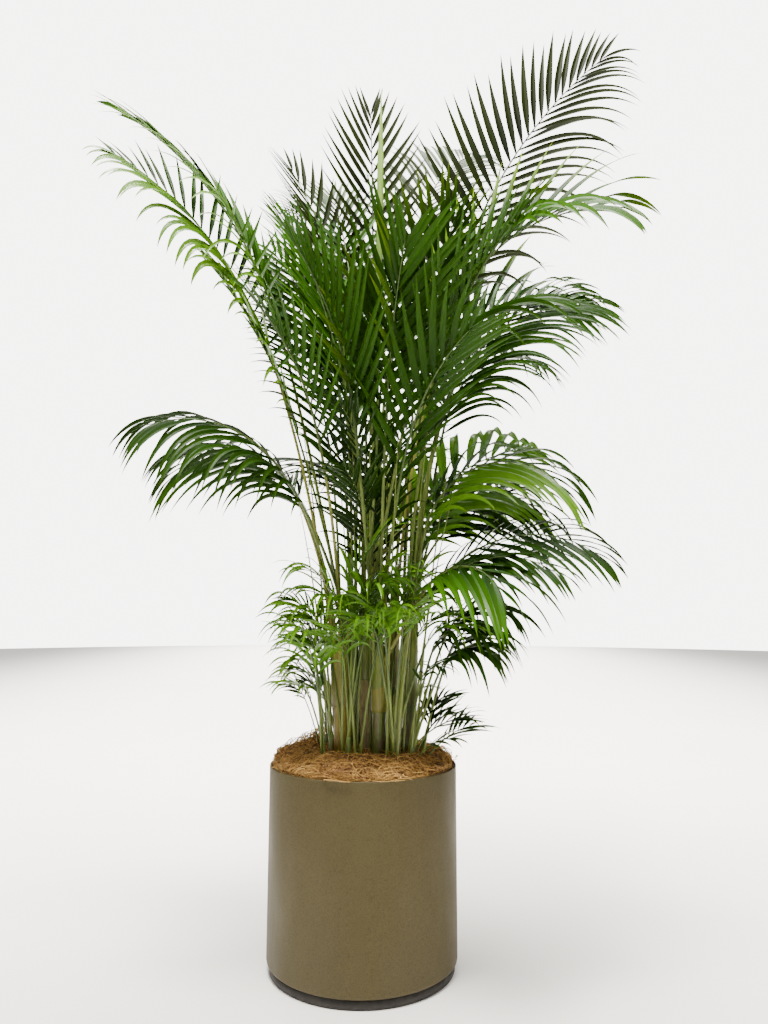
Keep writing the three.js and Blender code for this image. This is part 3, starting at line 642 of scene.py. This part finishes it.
def stalk_with_sheath(f, cane, slot, order):
    """Sheath, stalk and rib in one tube. The order counts a cane's fronds from the oldest."""
    start = frond_start(cane, slot)
    height = CANES[cane][2] / 1000
    depth = max(0.05, min(0.52 * height, 0.165 - 0.026 * order))
    proud = 0.0026 - 0.0004 * order
    way = level_way(slot)
    turn = (f["heading"] - slot + 180) % 360 - 180
    frames, run = [], []
    for s in -depth * np.array([1, 0.98, 0.85, 0.7, 0.58, 0.46, 0.36, 0.26, 0.17, 0.08]):
        leave = smooth((s + 0.62 * depth) / (0.62 * depth))
        centre = cane_centre(cane, start[2] + s)
        centre = centre + way * leave * (CANES[cane][6] - 7) / 1000
        sleeve = cane_radius(cane, height + s) + proud * (1 if s > -depth else 0.2)
        wide, deep = (sleeve + (half - sleeve) * leave for half in LEAVING)
        frames.append(ring_frame(centre, np.array([way[1], -way[0], 0]) * wide, -way * deep, (0, 0, 1)))
        run.append(0.30 * (s + depth) / depth)
    lengths, point, along, upper, across, wide, deep = rib_places(f, start, 40)
    for k, s in enumerate(lengths):
        swell = math.exp(-s / 0.030)
        w, d = (half[k] + (foot - half[k]) * swell for half, foot in zip((wide, deep), ABOVE))
        if s < TURN_OVER:
            u = -level_way(slot + turn * smooth(s / TURN_OVER))
            u = u - along[k] * np.dot(u, along[k])
            u /= np.linalg.norm(u)
            c = np.cross(along[k], u)
        else:
            u, c = upper[k], across[k]
        frames.append(ring_frame(point[k], c * w, u * d, along[k]))
        run.append(0.30 + 0.70 * s / (f["stalk"] + f["blade"]))
    return tube(12, frames, run)


# Colours from the sheath to the frond's tip. The dusky skin, darkening to near black along
# the rib, is painted shade on the stalks of fronds that stand in shade.
STALK_TONES = {
    "golden": ((0.0, (0.150, 0.138, 0.020)), (0.10, (0.165, 0.160, 0.018)), (0.30, (0.230, 0.230, 0.035)),
               (0.55, (0.210, 0.220, 0.035)), (0.70, (0.060, 0.095, 0.008)), (1.0, (0.04, 0.08, 0.005))),
    "olive": ((0.0, (0.098, 0.122, 0.015)), (0.05, (0.098, 0.125, 0.013)), (0.30, (0.160, 0.210, 0.030)),
              (0.55, (0.135, 0.185, 0.026)), (0.70, (0.04, 0.08, 0.006)), (1.0, (0.035, 0.075, 0.004))),
    "green": ((0.0, (0.080, 0.105, 0.013)), (0.05, (0.068, 0.100, 0.010)), (0.30, (0.085, 0.140, 0.016)),
              (0.55, (0.070, 0.125, 0.014)), (0.70, (0.025, 0.060, 0.004)), (1.0, (0.025, 0.06, 0.003))),
    "dusky": ((0.0, (0.080, 0.105, 0.013)), (0.05, (0.066, 0.095, 0.010)), (0.30, (0.070, 0.110, 0.014)),
              (0.50, (0.035, 0.050, 0.010)), (0.62, (0.022, 0.022, 0.008)), (1.0, (0.02, 0.019, 0.008))),
}
STREAKS = (0.6, 1.5)
stalk_skins = {key: skin_finish(f"{key}_stalk", tones, *STREAKS) for key, tones in STALK_TONES.items()}
stalks = {key: [] for key in stalk_skins}
for cane in CANES:
    own = [(slot, read_frond(values), skin) for _, at, slot, *values, _, skin in FRONDS if at == cane]
    own.sort(key=lambda row: row[1]["stalk"])
    for order, (slot, f, skin) in enumerate(own):
        stalks[skin].append(stalk_with_sheath(f, cane, slot, order))
for key, shapes in stalks.items():
    stalk_piece = joined(shapes, f"stalks_{key}", stalk_skins[key], "frond")
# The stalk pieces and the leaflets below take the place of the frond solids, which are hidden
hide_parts(*sorted(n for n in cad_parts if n.startswith("frond_")))


# The young spears: thin closed leaves that the clump sends up from the mulch between its
# canes, each a tapering olive rod as tall as the stalks round it.

# Each row: right and back of the axis (mm), heading, lean and bow (degrees), length (mm)
SPEARS = [
    [-14, 14, 250, 2, 3, 900], [16, -24, -100, 1, 3, 1050], [50, -84, -60, 2, 4, 820],
    [84, -58, -30, 3, 5, 980], [110, -42, -10, 4, 6, 760], [-66, -16, 190, 3, 6, 860],
    [-20, 40, 230, 3, 5, 760], [46, -20, -80, 1, 3, 940], [70, -92, -40, 5, 8, 560],
    [-68, -28, 215, 5, 8, 620], [46, -8, 60, 1, 2, 1150], [-18, 2, 150, 1, 3, 1120],
    [74, 14, 20, 2, 4, 1080], [98, -66, -25, 6, 8, 640], [2, 84, 95, 2, 4, 980],
    [62, 92, 70, 3, 5, 860],
]


def bare_rib(f, start, count, sides, colour_from, colour_by, closing=0.0):
    """A stalk and rib without a sheath, drawn to a point by its closing."""
    lengths, point, along, upper, across, wide, deep = rib_places(f, start, count)
    shut = 1 - closing * (lengths / lengths[-1]) ** 1.5
    rings = zip(point, across * (wide * shut)[:, None], upper * (deep * shut)[:, None], along)
    run = colour_from + colour_by * lengths / lengths[-1]
    return tube(sides, [ring_frame(*ring) for ring in rings], list(run))


spear_tubes = []
for x, y, heading, lean, bow, long in SPEARS:
    f = read_frond((heading, lean, bow, 0.8 * long, 0.2 * long, 4, 0, 160))
    foot = np.array([x / 1000, y / 1000, PLATEAU - 0.006])
    spear_tubes.append(bare_rib(f, foot, 24, 8, 0.15, 0.4, 0.85))
joined(spear_tubes, "young_spears", stalk_skins["olive"], "frond")


# The spear: the newest leaf of the middle cane, still folded shut. It stands straight up
# among the tall fronds as a pale green blade that lightens towards its tip.
spear_skin = skin_finish("spear", ((0.0, (0.060, 0.100, 0.010)), (0.55, (0.110, 0.200, 0.020)),
                                   (0.8, (0.240, 0.400, 0.060)), (1.0, (0.330, 0.520, 0.110))), *STREAKS)
spear_foot = cane_centre("h", PLATEAU + CANES["h"][2] / 1000)
spear_top = np.array([0.034, 0.075, 2.030])
frames, run = [], []
for t in np.linspace(0, 1, 28):
    wide = np.interp(t, (0, 0.50, 0.72, 0.86, 1), (0.0045, 0.0035, 0.0085, 0.0075, 0.0004))
    middle = spear_foot + (spear_top - spear_foot) * t
    frames.append(ring_frame(middle, (wide, 0, 0), (0, 0.4 * wide, 0), (0, 0, 1)))
    run.append(float(t))
joined([tube(8, frames, run)], "spear", spear_skin, "frond")


# The leaflets: long narrow blades in two ranks along each rib, folded along the middle,
# widest a third of the way out and drawn to a fine point that hangs. Each grows out of
# the rib at a spread that closes towards the frond's tip.
def leaf_length(f, u):
    rising = 1 - 0.4 * ((0.35 - u) / 0.35) ** 2
    falling = 1 - 0.55 * ((u - 0.35) / 0.65) ** 2
    return f["leaf"] * np.where(u < 0.35, rising, falling)


BLADE_STEPS, BLADE_THICK, FOLD = 14, 0.0011, 24
TIP_SPREAD, MOST_DROOP = 17, 76
blade_t = np.linspace(0, 1, BLADE_STEPS + 1)
outline = np.where(blade_t < 0.32, 0.26 + 0.74 * np.sin(blade_t / 0.32 * math.pi / 2),
                   1 - (np.clip(blade_t - 0.32, 0, 1) / 0.68) ** 1.5)


def leaflet_rings(f, start, pitch, width, unruly):
    """Rings of all leaflets of a frond. A value given as a pair holds one for each rank."""
    pairs = max(6, round(f["blade"] / pitch))
    k = np.repeat(np.arange(pairs), 2)
    side = np.tile([-1.0, 1.0], pairs)
    count = len(k)
    jitter = rng.uniform(-0.06, 0.06, count) * unruly
    u = np.clip((k + 0.2 + 0.38 * (side > 0) + jitter) / (pairs - 0.2), 0.004, 0.996)
    s = f["stalk"] + u * f["blade"]
    point, along, upper, across = frond_places(f, start, s)
    wide, deep = rib_size(f, s)

    def shake(amount):
        return rng.normal(0, amount * unruly, count)

    def ranked(key, usual=None):
        value = f.get(key, usual)
        return np.where(side < 0, *value) if isinstance(value, tuple) else np.full(count, value)

    # Each leaflet's line goes out from the rib, sweeps forward and hangs
    open_out = ranked("spread") * (1 - ranked("close", 0) * (1 - u) ** 2)
    spread = np.radians(open_out + (TIP_SPREAD - open_out) * u ** 1.8 + shake(1.6))
    rise = np.radians(ranked("rise") * (1 - 0.5 * u) + shake(2.6))
    out = across * (side * np.cos(rise))[:, None] + upper * np.sin(rise)[:, None]
    first = along * np.cos(spread)[:, None] + out * np.sin(spread)[:, None]
    level = np.hypot(first[:, 0], first[:, 1])
    hang_by = np.clip(ranked("droop") * (1 - ranked("ease", 0) * u ** 1.5) + shake(5), 2, MOST_DROOP)
    sag = 1.1 * np.tan(np.radians(hang_by)) * level ** ranked("stiff", 1.0)
    bend = ranked("bend", 2.4)[:, None]
    sag *= 1 + 0.4 * (bend[:, 0] - 2.4)
    length = leaf_length(f, u) * (1 + np.clip(shake(0.035), -0.09, 0.04))
    length *= 1 - 0.22 * np.clip((u - 0.8) / 0.2, 0, 1)
    middle = (blade_t[1:] + blade_t[:-1]) / 2
    hang = np.array([0, 0, -1.0]) * (sag[:, None] * middle[None, :] ** bend)[..., None]
    sweep = along[:, None, :] * (ranked("sweep", 0.25)[:, None] * middle[None, :])[..., None]
    course = unit(first[:, None, :] + sweep + hang)
    root = point + across * (side * wide * 0.42)[:, None] + upper * (deep * 0.1)[:, None]
    reach_out = np.cumsum(course * (length / BLADE_STEPS)[:, None, None], 1)
    line = np.concatenate([root[:, None], root[:, None] + reach_out], 1)
    heading = unit(np.concatenate([course[:, :1], course[:, 1:] + course[:, :-1], course[:, -1:]], 1))
    # Its width lies in the rank's plane at the root and turns flat towards the tip
    plane = unit(along[:, None] - heading * (along[:, None] * heading).sum(-1, keepdims=True))
    flat = unit(np.cross(heading, np.array([0, 0, 1.0])))
    flat *= np.where((flat * plane).sum((1, 2)) < 0, -1, 1)[:, None, None]
    turn = blade_t[None, :, None] * (ranked("turn", 0.35) * level)[:, None, None]
    width_way = plane * (1 - turn) + flat * turn
    width_way = unit(width_way - heading * (width_way * heading).sum(-1, keepdims=True))
    face = np.cross(heading, width_way)
    face *= np.where((face * upper[:, None]).sum((1, 2)) < 0, -1, 1)[:, None, None]
    twist = (np.radians(shake(6))[:, None] * blade_t[None, :])[..., None]
    width_way, face = (width_way * np.cos(twist) + face * np.sin(twist),
                       face * np.cos(twist) - width_way * np.sin(twist))
    # Four corners at each station: two edges raised by the fold, and the two sides between
    sizes = width * ranked("broad", 1.0) * (length / 0.26) ** 0.45 * (1 + np.clip(shake(0.05), -0.12, 0.12))
    half = sizes[:, None] * outline[None, :] / 2
    fold = np.radians(FOLD) * (1 - 0.5 * blade_t)[None, :]
    thick = BLADE_THICK * (1 - 0.75 * blade_t)[None, :]
    lift = (half * np.sin(fold))[..., None] * face
    reach = (half * np.cos(fold))[..., None] * width_way
    rings = np.stack([line - reach + lift, line + face * (thick / 2)[..., None],
                      line + reach + lift, line - face * (thick / 2)[..., None]], 2)
    handed = np.sign((np.cross(width_way, face) * heading).sum(-1))[:, 0]
    rings[handed > 0] = rings[handed > 0][:, :, [2, 1, 0, 3]]
    tint = np.clip(rng.normal(0.45, 0.15) + rng.normal(0, 0.20, count), 0, 1)
    return rings, tint


def leaf_piece(name, rings, tint, material):
    """One mesh of blades, each four-sided and closed to a point, with a UV map along it."""
    count = len(rings)
    body = rings[:, :-1].reshape(count, -1, 3)
    tip = rings[:, -1, :, :].mean(1, keepdims=True)
    points = np.concatenate([body, tip], 1)
    per = points.shape[1]
    stations = BLADE_STEPS
    step = np.arange(stations - 1)[:, None] * 4
    side = np.arange(4)[None, :]
    after = (side + 1) % 4
    one = np.stack([step + side, step + after, step + 4 + after, step + 4 + side], -1).reshape(-1, 4)
    last = (stations - 1) * 4
    start = np.arange(count) * per
    quads = (start[:, None, None] + one[None]).reshape(-1, 4)
    tip = np.array([[last + i, last + (i + 1) % 4, per - 1] for i in range(4)])
    tips = (start[:, None, None] + tip[None]).reshape(-1, 3)
    root = start[:, None] + np.array([3, 2, 1, 0])[None]
    faces = [tuple(face) for part in (quads, tips, root) for face in part.tolist()]
    mesh = array_mesh(name, points, faces, np.repeat(tint, per), material)
    place = np.arange(per)
    kind = np.tile(np.where(place == per - 1, -1, place % 4), count)
    ends = np.zeros(len(mesh.edges) * 2, np.int32)
    mesh.edges.foreach_get("vertices", ends)
    ends = ends.reshape(-1, 2)
    a, b = kind[ends[:, 0]], kind[ends[:, 1]]
    # The edges that run along a blade and to its tip are sharp
    sharp = (a == b) | (a < 0) | (b < 0)
    mesh.attributes.new("sharp_edge", "BOOLEAN", "EDGE").data.foreach_set("value", sharp)
    uv = mesh.uv_layers.new(name="blade")
    vertex = np.zeros(len(mesh.loops), np.int32)
    mesh.loops.foreach_get("vertex_index", vertex)
    local = vertex % per
    v = np.where(local == per - 1, 1.0, (local // 4) / stations)
    u = np.array([0.0, 0.5, 1.0, 0.5])[local % 4]
    corners = np.zeros(len(mesh.polygons), np.int32)
    mesh.polygons.foreach_get("loop_total", corners)
    face_side = np.concatenate([np.tile(one[:, 0] % 4, count), np.tile(np.arange(4), count),
                                np.zeros(count, int)])
    # Faces of the underside lie one unit to the right in the UV map
    u = np.where(local == per - 1, 0.5, u) + np.repeat(face_side >= 2, corners)
    uv.data.foreach_set("uv", np.stack([u, v], 1).ravel().astype(np.float32))
    return stand(name, mesh, "frond")


def leaf_pieces(prefix, dealt):
    """One piece for each green, of all the rings and tints that were dealt to it."""
    for green, parts in dealt.items():
        rings, tints = map(np.concatenate, zip(*parts))
        leaf_piece(f"{prefix}_{green}", rings, tints, leaf_greens[green])


def leaf_finish(name, dark, light, under, tip, gloss, shine, tip_span=(0.15, 0.75)):
    """A leaf green: darker or lighter by blade, lighter to the tip, veined, mixed below.
    The lighter tip is partly a riper blade and partly painted light shining through it, and
    the underside green is partly its own colour and partly painted shade.
    """
    material, tree, shader = bare_material(name, light, gloss)
    shader.inputs["Specular IOR Level"].default_value = shine
    uv = add_node(tree, "UVMap", {}, uv_map="blade").outputs["UV"]
    split = add_node(tree, "SeparateXYZ", {0: uv})
    colour = blend_colour(tree, read_attribute(tree, "tint"), dark, light)
    # Towards its tip each blade is mixed with the tip colour: partly riper, partly painted light shining
    # through the blade.
    outer = ramp(tree, split.outputs["Y"], (tip_span[0], 0.0), (tip_span[1], 1.0))
    colour = blend_colour(tree, outer, colour, blend_colour(tree, 0.55, colour, tip))
    drawn_out = add_node(tree, "VectorMath", {0: uv, 1: (14, 0.6, 1)}, operation="MULTIPLY")
    veins = add_node(tree, "TexNoise", {"Scale": 1.0, "Detail": 2, "Vector": drawn_out.outputs[0]})
    streak = ramp(tree, veins.outputs["Fac"], (0.3, 0.80), (0.7, 1.18))
    colour = blend_colour(tree, 1.0, colour, streak, "MULTIPLY")
    run = ramp(tree, split.outputs["Y"], (0.0, (1.5, 1.35, 1.1)), (0.10, (1.0, 1.0, 1.0)),
               (0.88, (1.0, 1.0, 1.0)), (1.0, (1.7, 1.15, 0.9)))
    colour = blend_colour(tree, 1.0, colour, run, "MULTIPLY")
    # The underside is mixed half with the underside green, partly its own colour and partly painted shade on
    # a side turned from the lamps.
    underside = add_node(tree, "Math", {0: split.outputs["X"], 1: 1.001}, operation="GREATER_THAN")
    below = blend_colour(tree, 0.5, colour, under)
    colour = blend_colour(tree, underside.outputs[0], colour, below)
    paint(tree, shader, colour)
    bumped(tree, shader, veins.outputs["Fac"], 0.25, 0.0007)
    return material


# Each row: dark, light, underside and tip colour, roughness and specular level, and for the
# tipped green the span of its tip colour. The dusky and deep greens are darker copies that
# paint shade on fronds and shoots standing in shade, and the fresh green is partly young
# growth and partly painted light on leaflets that face the lamps.
GREENS = {
    "dusky": ((0.0026, 0.0052, 0.0002), (0.0115, 0.0190, 0.0006), (0.0080, 0.0100, 0.0006),
              (0.018, 0.028, 0.0007), 0.5, 0.04),
    "deep": ((0.0022, 0.011, 0.0001), (0.011, 0.038, 0.0003), (0.008, 0.025, 0.0004),
             (0.021, 0.060, 0.0005), 0.40, 0.06),
    "mid": ((0.0036, 0.019, 0.0002), (0.022, 0.080, 0.0004), (0.015, 0.048, 0.0006),
            (0.048, 0.145, 0.001), 0.38, 0.09),
    "fresh": ((0.022, 0.080, 0.001), (0.085, 0.225, 0.003), (0.050, 0.135, 0.003),
              (0.135, 0.300, 0.006), 0.30, 0.30),
    # The bright lime outer part of these blades is painted light shining through them.
    "tipped": ((0.0034, 0.017, 0.0002), (0.017, 0.060, 0.0003), (0.016, 0.048, 0.001),
               (0.230, 0.400, 0.005), 0.40, 0.05, (0.45, 0.92)),
}
leaf_greens = {key: leaf_finish(f"leaf_{key}", *row) for key, row in GREENS.items()}
USUAL_WIDTH, USUAL_PITCH = 0.0160, 0.0285
LEAF_WIDTHS = {"high_right": 0.0185, "centre_high": 0.0175, "high_left": 0.0190, "arch_left": 0.0140,
               "arch_right": 0.0200, "low_right_a": 0.0200, "low_right_d": 0.0215, "cross_right": 0.0215,
               "front_a": 0.0175, "front_b": 0.0175, "front_right": 0.0175, "centre_front": 0.0200}
# How the leaflets of some fronds lie otherwise, where a pair holds a value for each rank.
# A high bend curls them to hooks, stiff holds the upright ones up, sweep lays them forward,
# turn lays them flat, close and ease lessen spread and droop along the rib, broad widens
LEAF_LAY = {
    "high_right": {"droop": 60, "stiff": 3.0, "sweep": 0.25, "spread": 58, "pitch": 0.0305},
    "centre_high": {"sweep": 0.45, "stiff": 2.0, "pitch": 0.036},
    "high_left": {"spread": (64, 27), "droop": (72, 34), "roll": -6, "rise": (-10, 28), "bend": (1.6, 2.4),
                  "sweep": 0, "close": (0.6, 0), "ease": (0.5, 0.3), "turn": (0.5, 0.1), "unruly": 1.4,
                  "broad": (0.9, 1.7)},
    "arch_left": {"roll": -43, "rise": (18, 24), "spread": (50, 56), "droop": (75, 40), "bend": (3.4, 2.4),
                  "stiff": (1, 3), "sweep": 0, "close": (0.80, 0), "ease": 0.3, "unruly": 1.7,
                  "broad": (1.9, 1.0)},
    "arch_right": {"roll": 42, "rise": 25, "stiff": (3, 2), "sweep": (0.1, 0.2), "turn": 0,
                   "spread": (52, 58), "droop": (60, 58), "leaf": 0.33, "broad": (0.9, 1.2)},
    "cross_right": {"rise": (22, 0), "spread": (64, 50), "droop": (80, 50), "bend": (3.2, 2.4), "turn": 0.1,
                    "stiff": (0, 1), "pitch": 0.036, "broad": (1.2, 1.0), "leaf": 0.23},
    "centre_front": {"stiff": 2.0, "sweep": 0.1}, "low_left": {"pitch": 0.034},
}
# Younger fronds stand beside some of the others: turned by, leant by, size, arched by and
# rolled by
SECONDS = {
    "arch_right": (30, -2, 0.84, 4, 0), "mid_right": (8, 0, 1.0, -14, 0), "low_right_a": (20, 0, 0.86, -6, 0),
    "low_right_b": (22, 3, 0.92, -4, 0), "low_right_c": (-12, -1, 0.84, 0, 0), "back_b": (20, 2, 0.92, 4, 0),
    "back_right": (60, 1, 0.86, 4, 0), "centre_high": (72, 4, 0.86, 18, -20), "back_a": (26, 3, 0.92, -6, 0),
    "centre_front": (-22, -4, 0.84, 4, 0), "centre_left": (24, 2, 0.92, 6, 0),
    "low_back_b": (-20, 4, 0.98, -10, 0),
    "front_a": (30, 3, 0.84, 6, 0), "cross_right": (18, 4, 0.88, 8, 0), "low_left": (8, 0, 0.9, 6, 10),
    "centre_lean_left": (-10, 2, 0.95, 8, -20), "high_left": (10, 3, 0.66, -22, 10),
}


def varied(f, turned, leant, size, arched=0, rolled=0):
    """A like frond beside the given one, with some degrees added and its lengths sized."""
    added = {"heading": turned, "lean": leant, "arch": arched, "roll": rolled}
    return dict(f, **{key: f[key] + by for key, by in added.items()},
                **{key: f[key] * size for key in ("stalk", "blade", "leaf")})


dealt = {key: [] for key in GREENS}
young_stalks = []
for name, cane, slot, *values, greens, _ in FRONDS:
    f = read_frond(values)
    start = frond_start(cane, slot)
    both = [(f, start)]
    if name in SECONDS:
        younger = varied(f, *SECONDS[name])
        heart = cane_centre(cane, start[2])
        inner = heart + 0.45 * (start - heart)
        both.append((younger, inner))
        young_stalks.append(bare_rib(younger, inner, 30, 8, 0.3, 0.7))
    for frond, foot in both:
        laid = dict(frond, **LEAF_LAY.get(name, {}))
        # The leaflets of a younger frond roll further by what its rib is rolled
        laid["roll"] += frond["roll"] - f["roll"]
        rings, tint = leaflet_rings(laid, foot, laid.get("pitch", USUAL_PITCH),
                                    LEAF_WIDTHS.get(name, USUAL_WIDTH), laid.get("unruly", 0.8))
        for rank, green in enumerate((greens.split("/") * 2)[:2]):
            dealt[green].append((rings[rank::2], tint[rank::2]))
joined(young_stalks, "young_stalks", stalk_skins["olive"], "frond")
leaf_pieces("leaflets", dealt)


# The shoots: suckers at the clump's foot and one young cane in its middle, each a thin
# stem with a few small fronds. They are the youngest growth, finer than the crown. The light
# green of those outside is partly their youth and partly painted light, and the deep green of
# those standing in the shade of the canes is painted shade.

# Each shoot: its place right and back of the axis and its stem's height (mm), then its
# fronds by the FIELDS
SHOOTS = [
    ["left", -66, -54, 62,
      [190, 2, 8, 200, 110, 78, -25, 80, 52, 10, 45],
      [170, 8, 12, 90, 80, 85, 0, 62, 52, 10, 40],
      [230, 6, 10, 150, 120, 80, -10, 82, 52, 10, 45]],
    ["front", -28, -70, 56,
      [200, 3, 7, 270, 120, 75, -20, 88, 52, 5, 45],
      [10, 1, 2, 300, 140, 52, 10, 88, 46, 15, 30],
      [-60, 6, 8, 240, 130, 80, 10, 92, 52, 5, 45],
      [-15, 6, 8, 260, 120, 70, 10, 86, 50, 8, 40]],
    ["side", -80, 4, 50,
      [180, 3, 8, 230, 100, 80, -20, 90, 50, 5, 45],
      [200, 10, 12, 110, 80, 70, -20, 70, 52, 5, 40]],
    ["right", 104, -62, 36,
      [-5, 42, 10, 40, 90, 35, 15, 100, 46, 10, 30],
      [30, 20, 12, 60, 80, 45, 10, 86, 46, 12, 30],
      [5, 13, 10, 240, 150, 95, 20, 108, 50, -5, 58],
      [-25, 8, 10, 190, 130, 100, 10, 96, 50, -5, 58]],
    ["back", 30, 102, 56,
      [95, 12, 12, 170, 150, 78, 0, 92, 52, 5, 40],
      [50, 24, 12, 90, 120, 60, 0, 80, 52, 5, 40],
      [130, 14, 14, 120, 130, 70, 0, 82, 52, 5, 40]],
    ["middle", 26, 27, 330,
      [160, 2, 4, 120, 320, 46, -20, 190, 50, 10, 35],
      [-30, 3, 6, 150, 320, 52, 20, 190, 50, 10, 35],
      [-110, 4, 8, 60, 300, 60, 10, 175, 50, 8, 40],
      [60, 3, 6, 190, 330, 50, 0, 190, 50, 10, 35],
      [245, 3, 8, 200, 290, 55, -20, 180, 50, 8, 38]],
]
# Light green is partly painted light on the shoots outside, deep green painted shade on those among the canes
SHOOT_GREENS = {"left": "fresh", "front": "fresh", "back": "mid",
                "side": "deep", "right": "deep", "middle": "deep"}
# Each frond of a shoot is repeated beside itself: turned by, leant by, size, right and
# behind by (mm)
CROWD = ((0, 0, 1, 0, 0), (24, 3, 0.86, 14, 4), (-28, 4, 0.74, -8, 12), (52, 9, 0.80, 86, -8),
         (-60, 7, 0.84, 98, 2))
USUAL_CROWD = 3
CROWDS = {"middle": 1, "front": len(CROWD)}
stems, ribs = [], []
shoot_leaves = {key: [] for key in ("fresh", "deep", "mid")}
for name, x, y, height, *rows in SHOOTS:
    foot = np.array([x / 1000, y / 1000, PLATEAU])
    top = height / 1000
    levels = ((-0.004, 0.0070), (0.012, 0.0062), (0.3 * top, 0.0054), (0.9 * top, 0.0050), (top, 0.0034))
    frames = [ring_frame(foot + np.array([0, 0, z]), (r, 0, 0), (0, r, 0), (0, 0, 1)) for z, r in levels]
    stems.append(tube(10, frames, [0, 0.1, 0.3, 0.8, 1]))
    for values in rows:
        for turned, leant, size, right, behind in CROWD[:CROWDS.get(name, USUAL_CROWD)]:
            first = read_frond(values)
            f = varied(first, turned, leant, size)
            f["leaf"] = first["leaf"] * (0.5 + 0.5 * size)
            # Those in front and the long ones at the right have longer leaflets that hang more
            if name in ("front", "left") or name == "right" and f["stalk"] > 0.15:
                f = dict(f, leaf=1.75 * f["leaf"], droop=f["droop"] + 20)
            start = foot + np.array([0, 0, top - 0.004])
            if turned:
                step = np.array([right / 1000, behind / 1000, -0.006])
                step += 0.008 * level_way(f["heading"] + 2 * turned)
                start = foot + (step if name != "left" else step * np.array([-1, 2, 1]))
                f = dict(f, stalk=f["stalk"] + top, lean=f["lean"] - 2)
            ribs.append(bare_rib(f, start, 20, 6, 0.3, 0.7))
            pitch, width = (0.019, 0.014) if f["leaf"] < 0.19 else (0.028, 0.018)
            shoot_leaves[SHOOT_GREENS[name]].append(leaflet_rings(f, start, pitch, width, 2.2))
joined(stems, "shoot_stems", cane_skins["green"], "cane")
shoot_ribs = joined(ribs, "shoot_ribs", stalk_skins["olive"], "frond")
leaf_pieces("leaflets_shoots", shoot_leaves)
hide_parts(*[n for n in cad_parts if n.startswith("shoot_")])
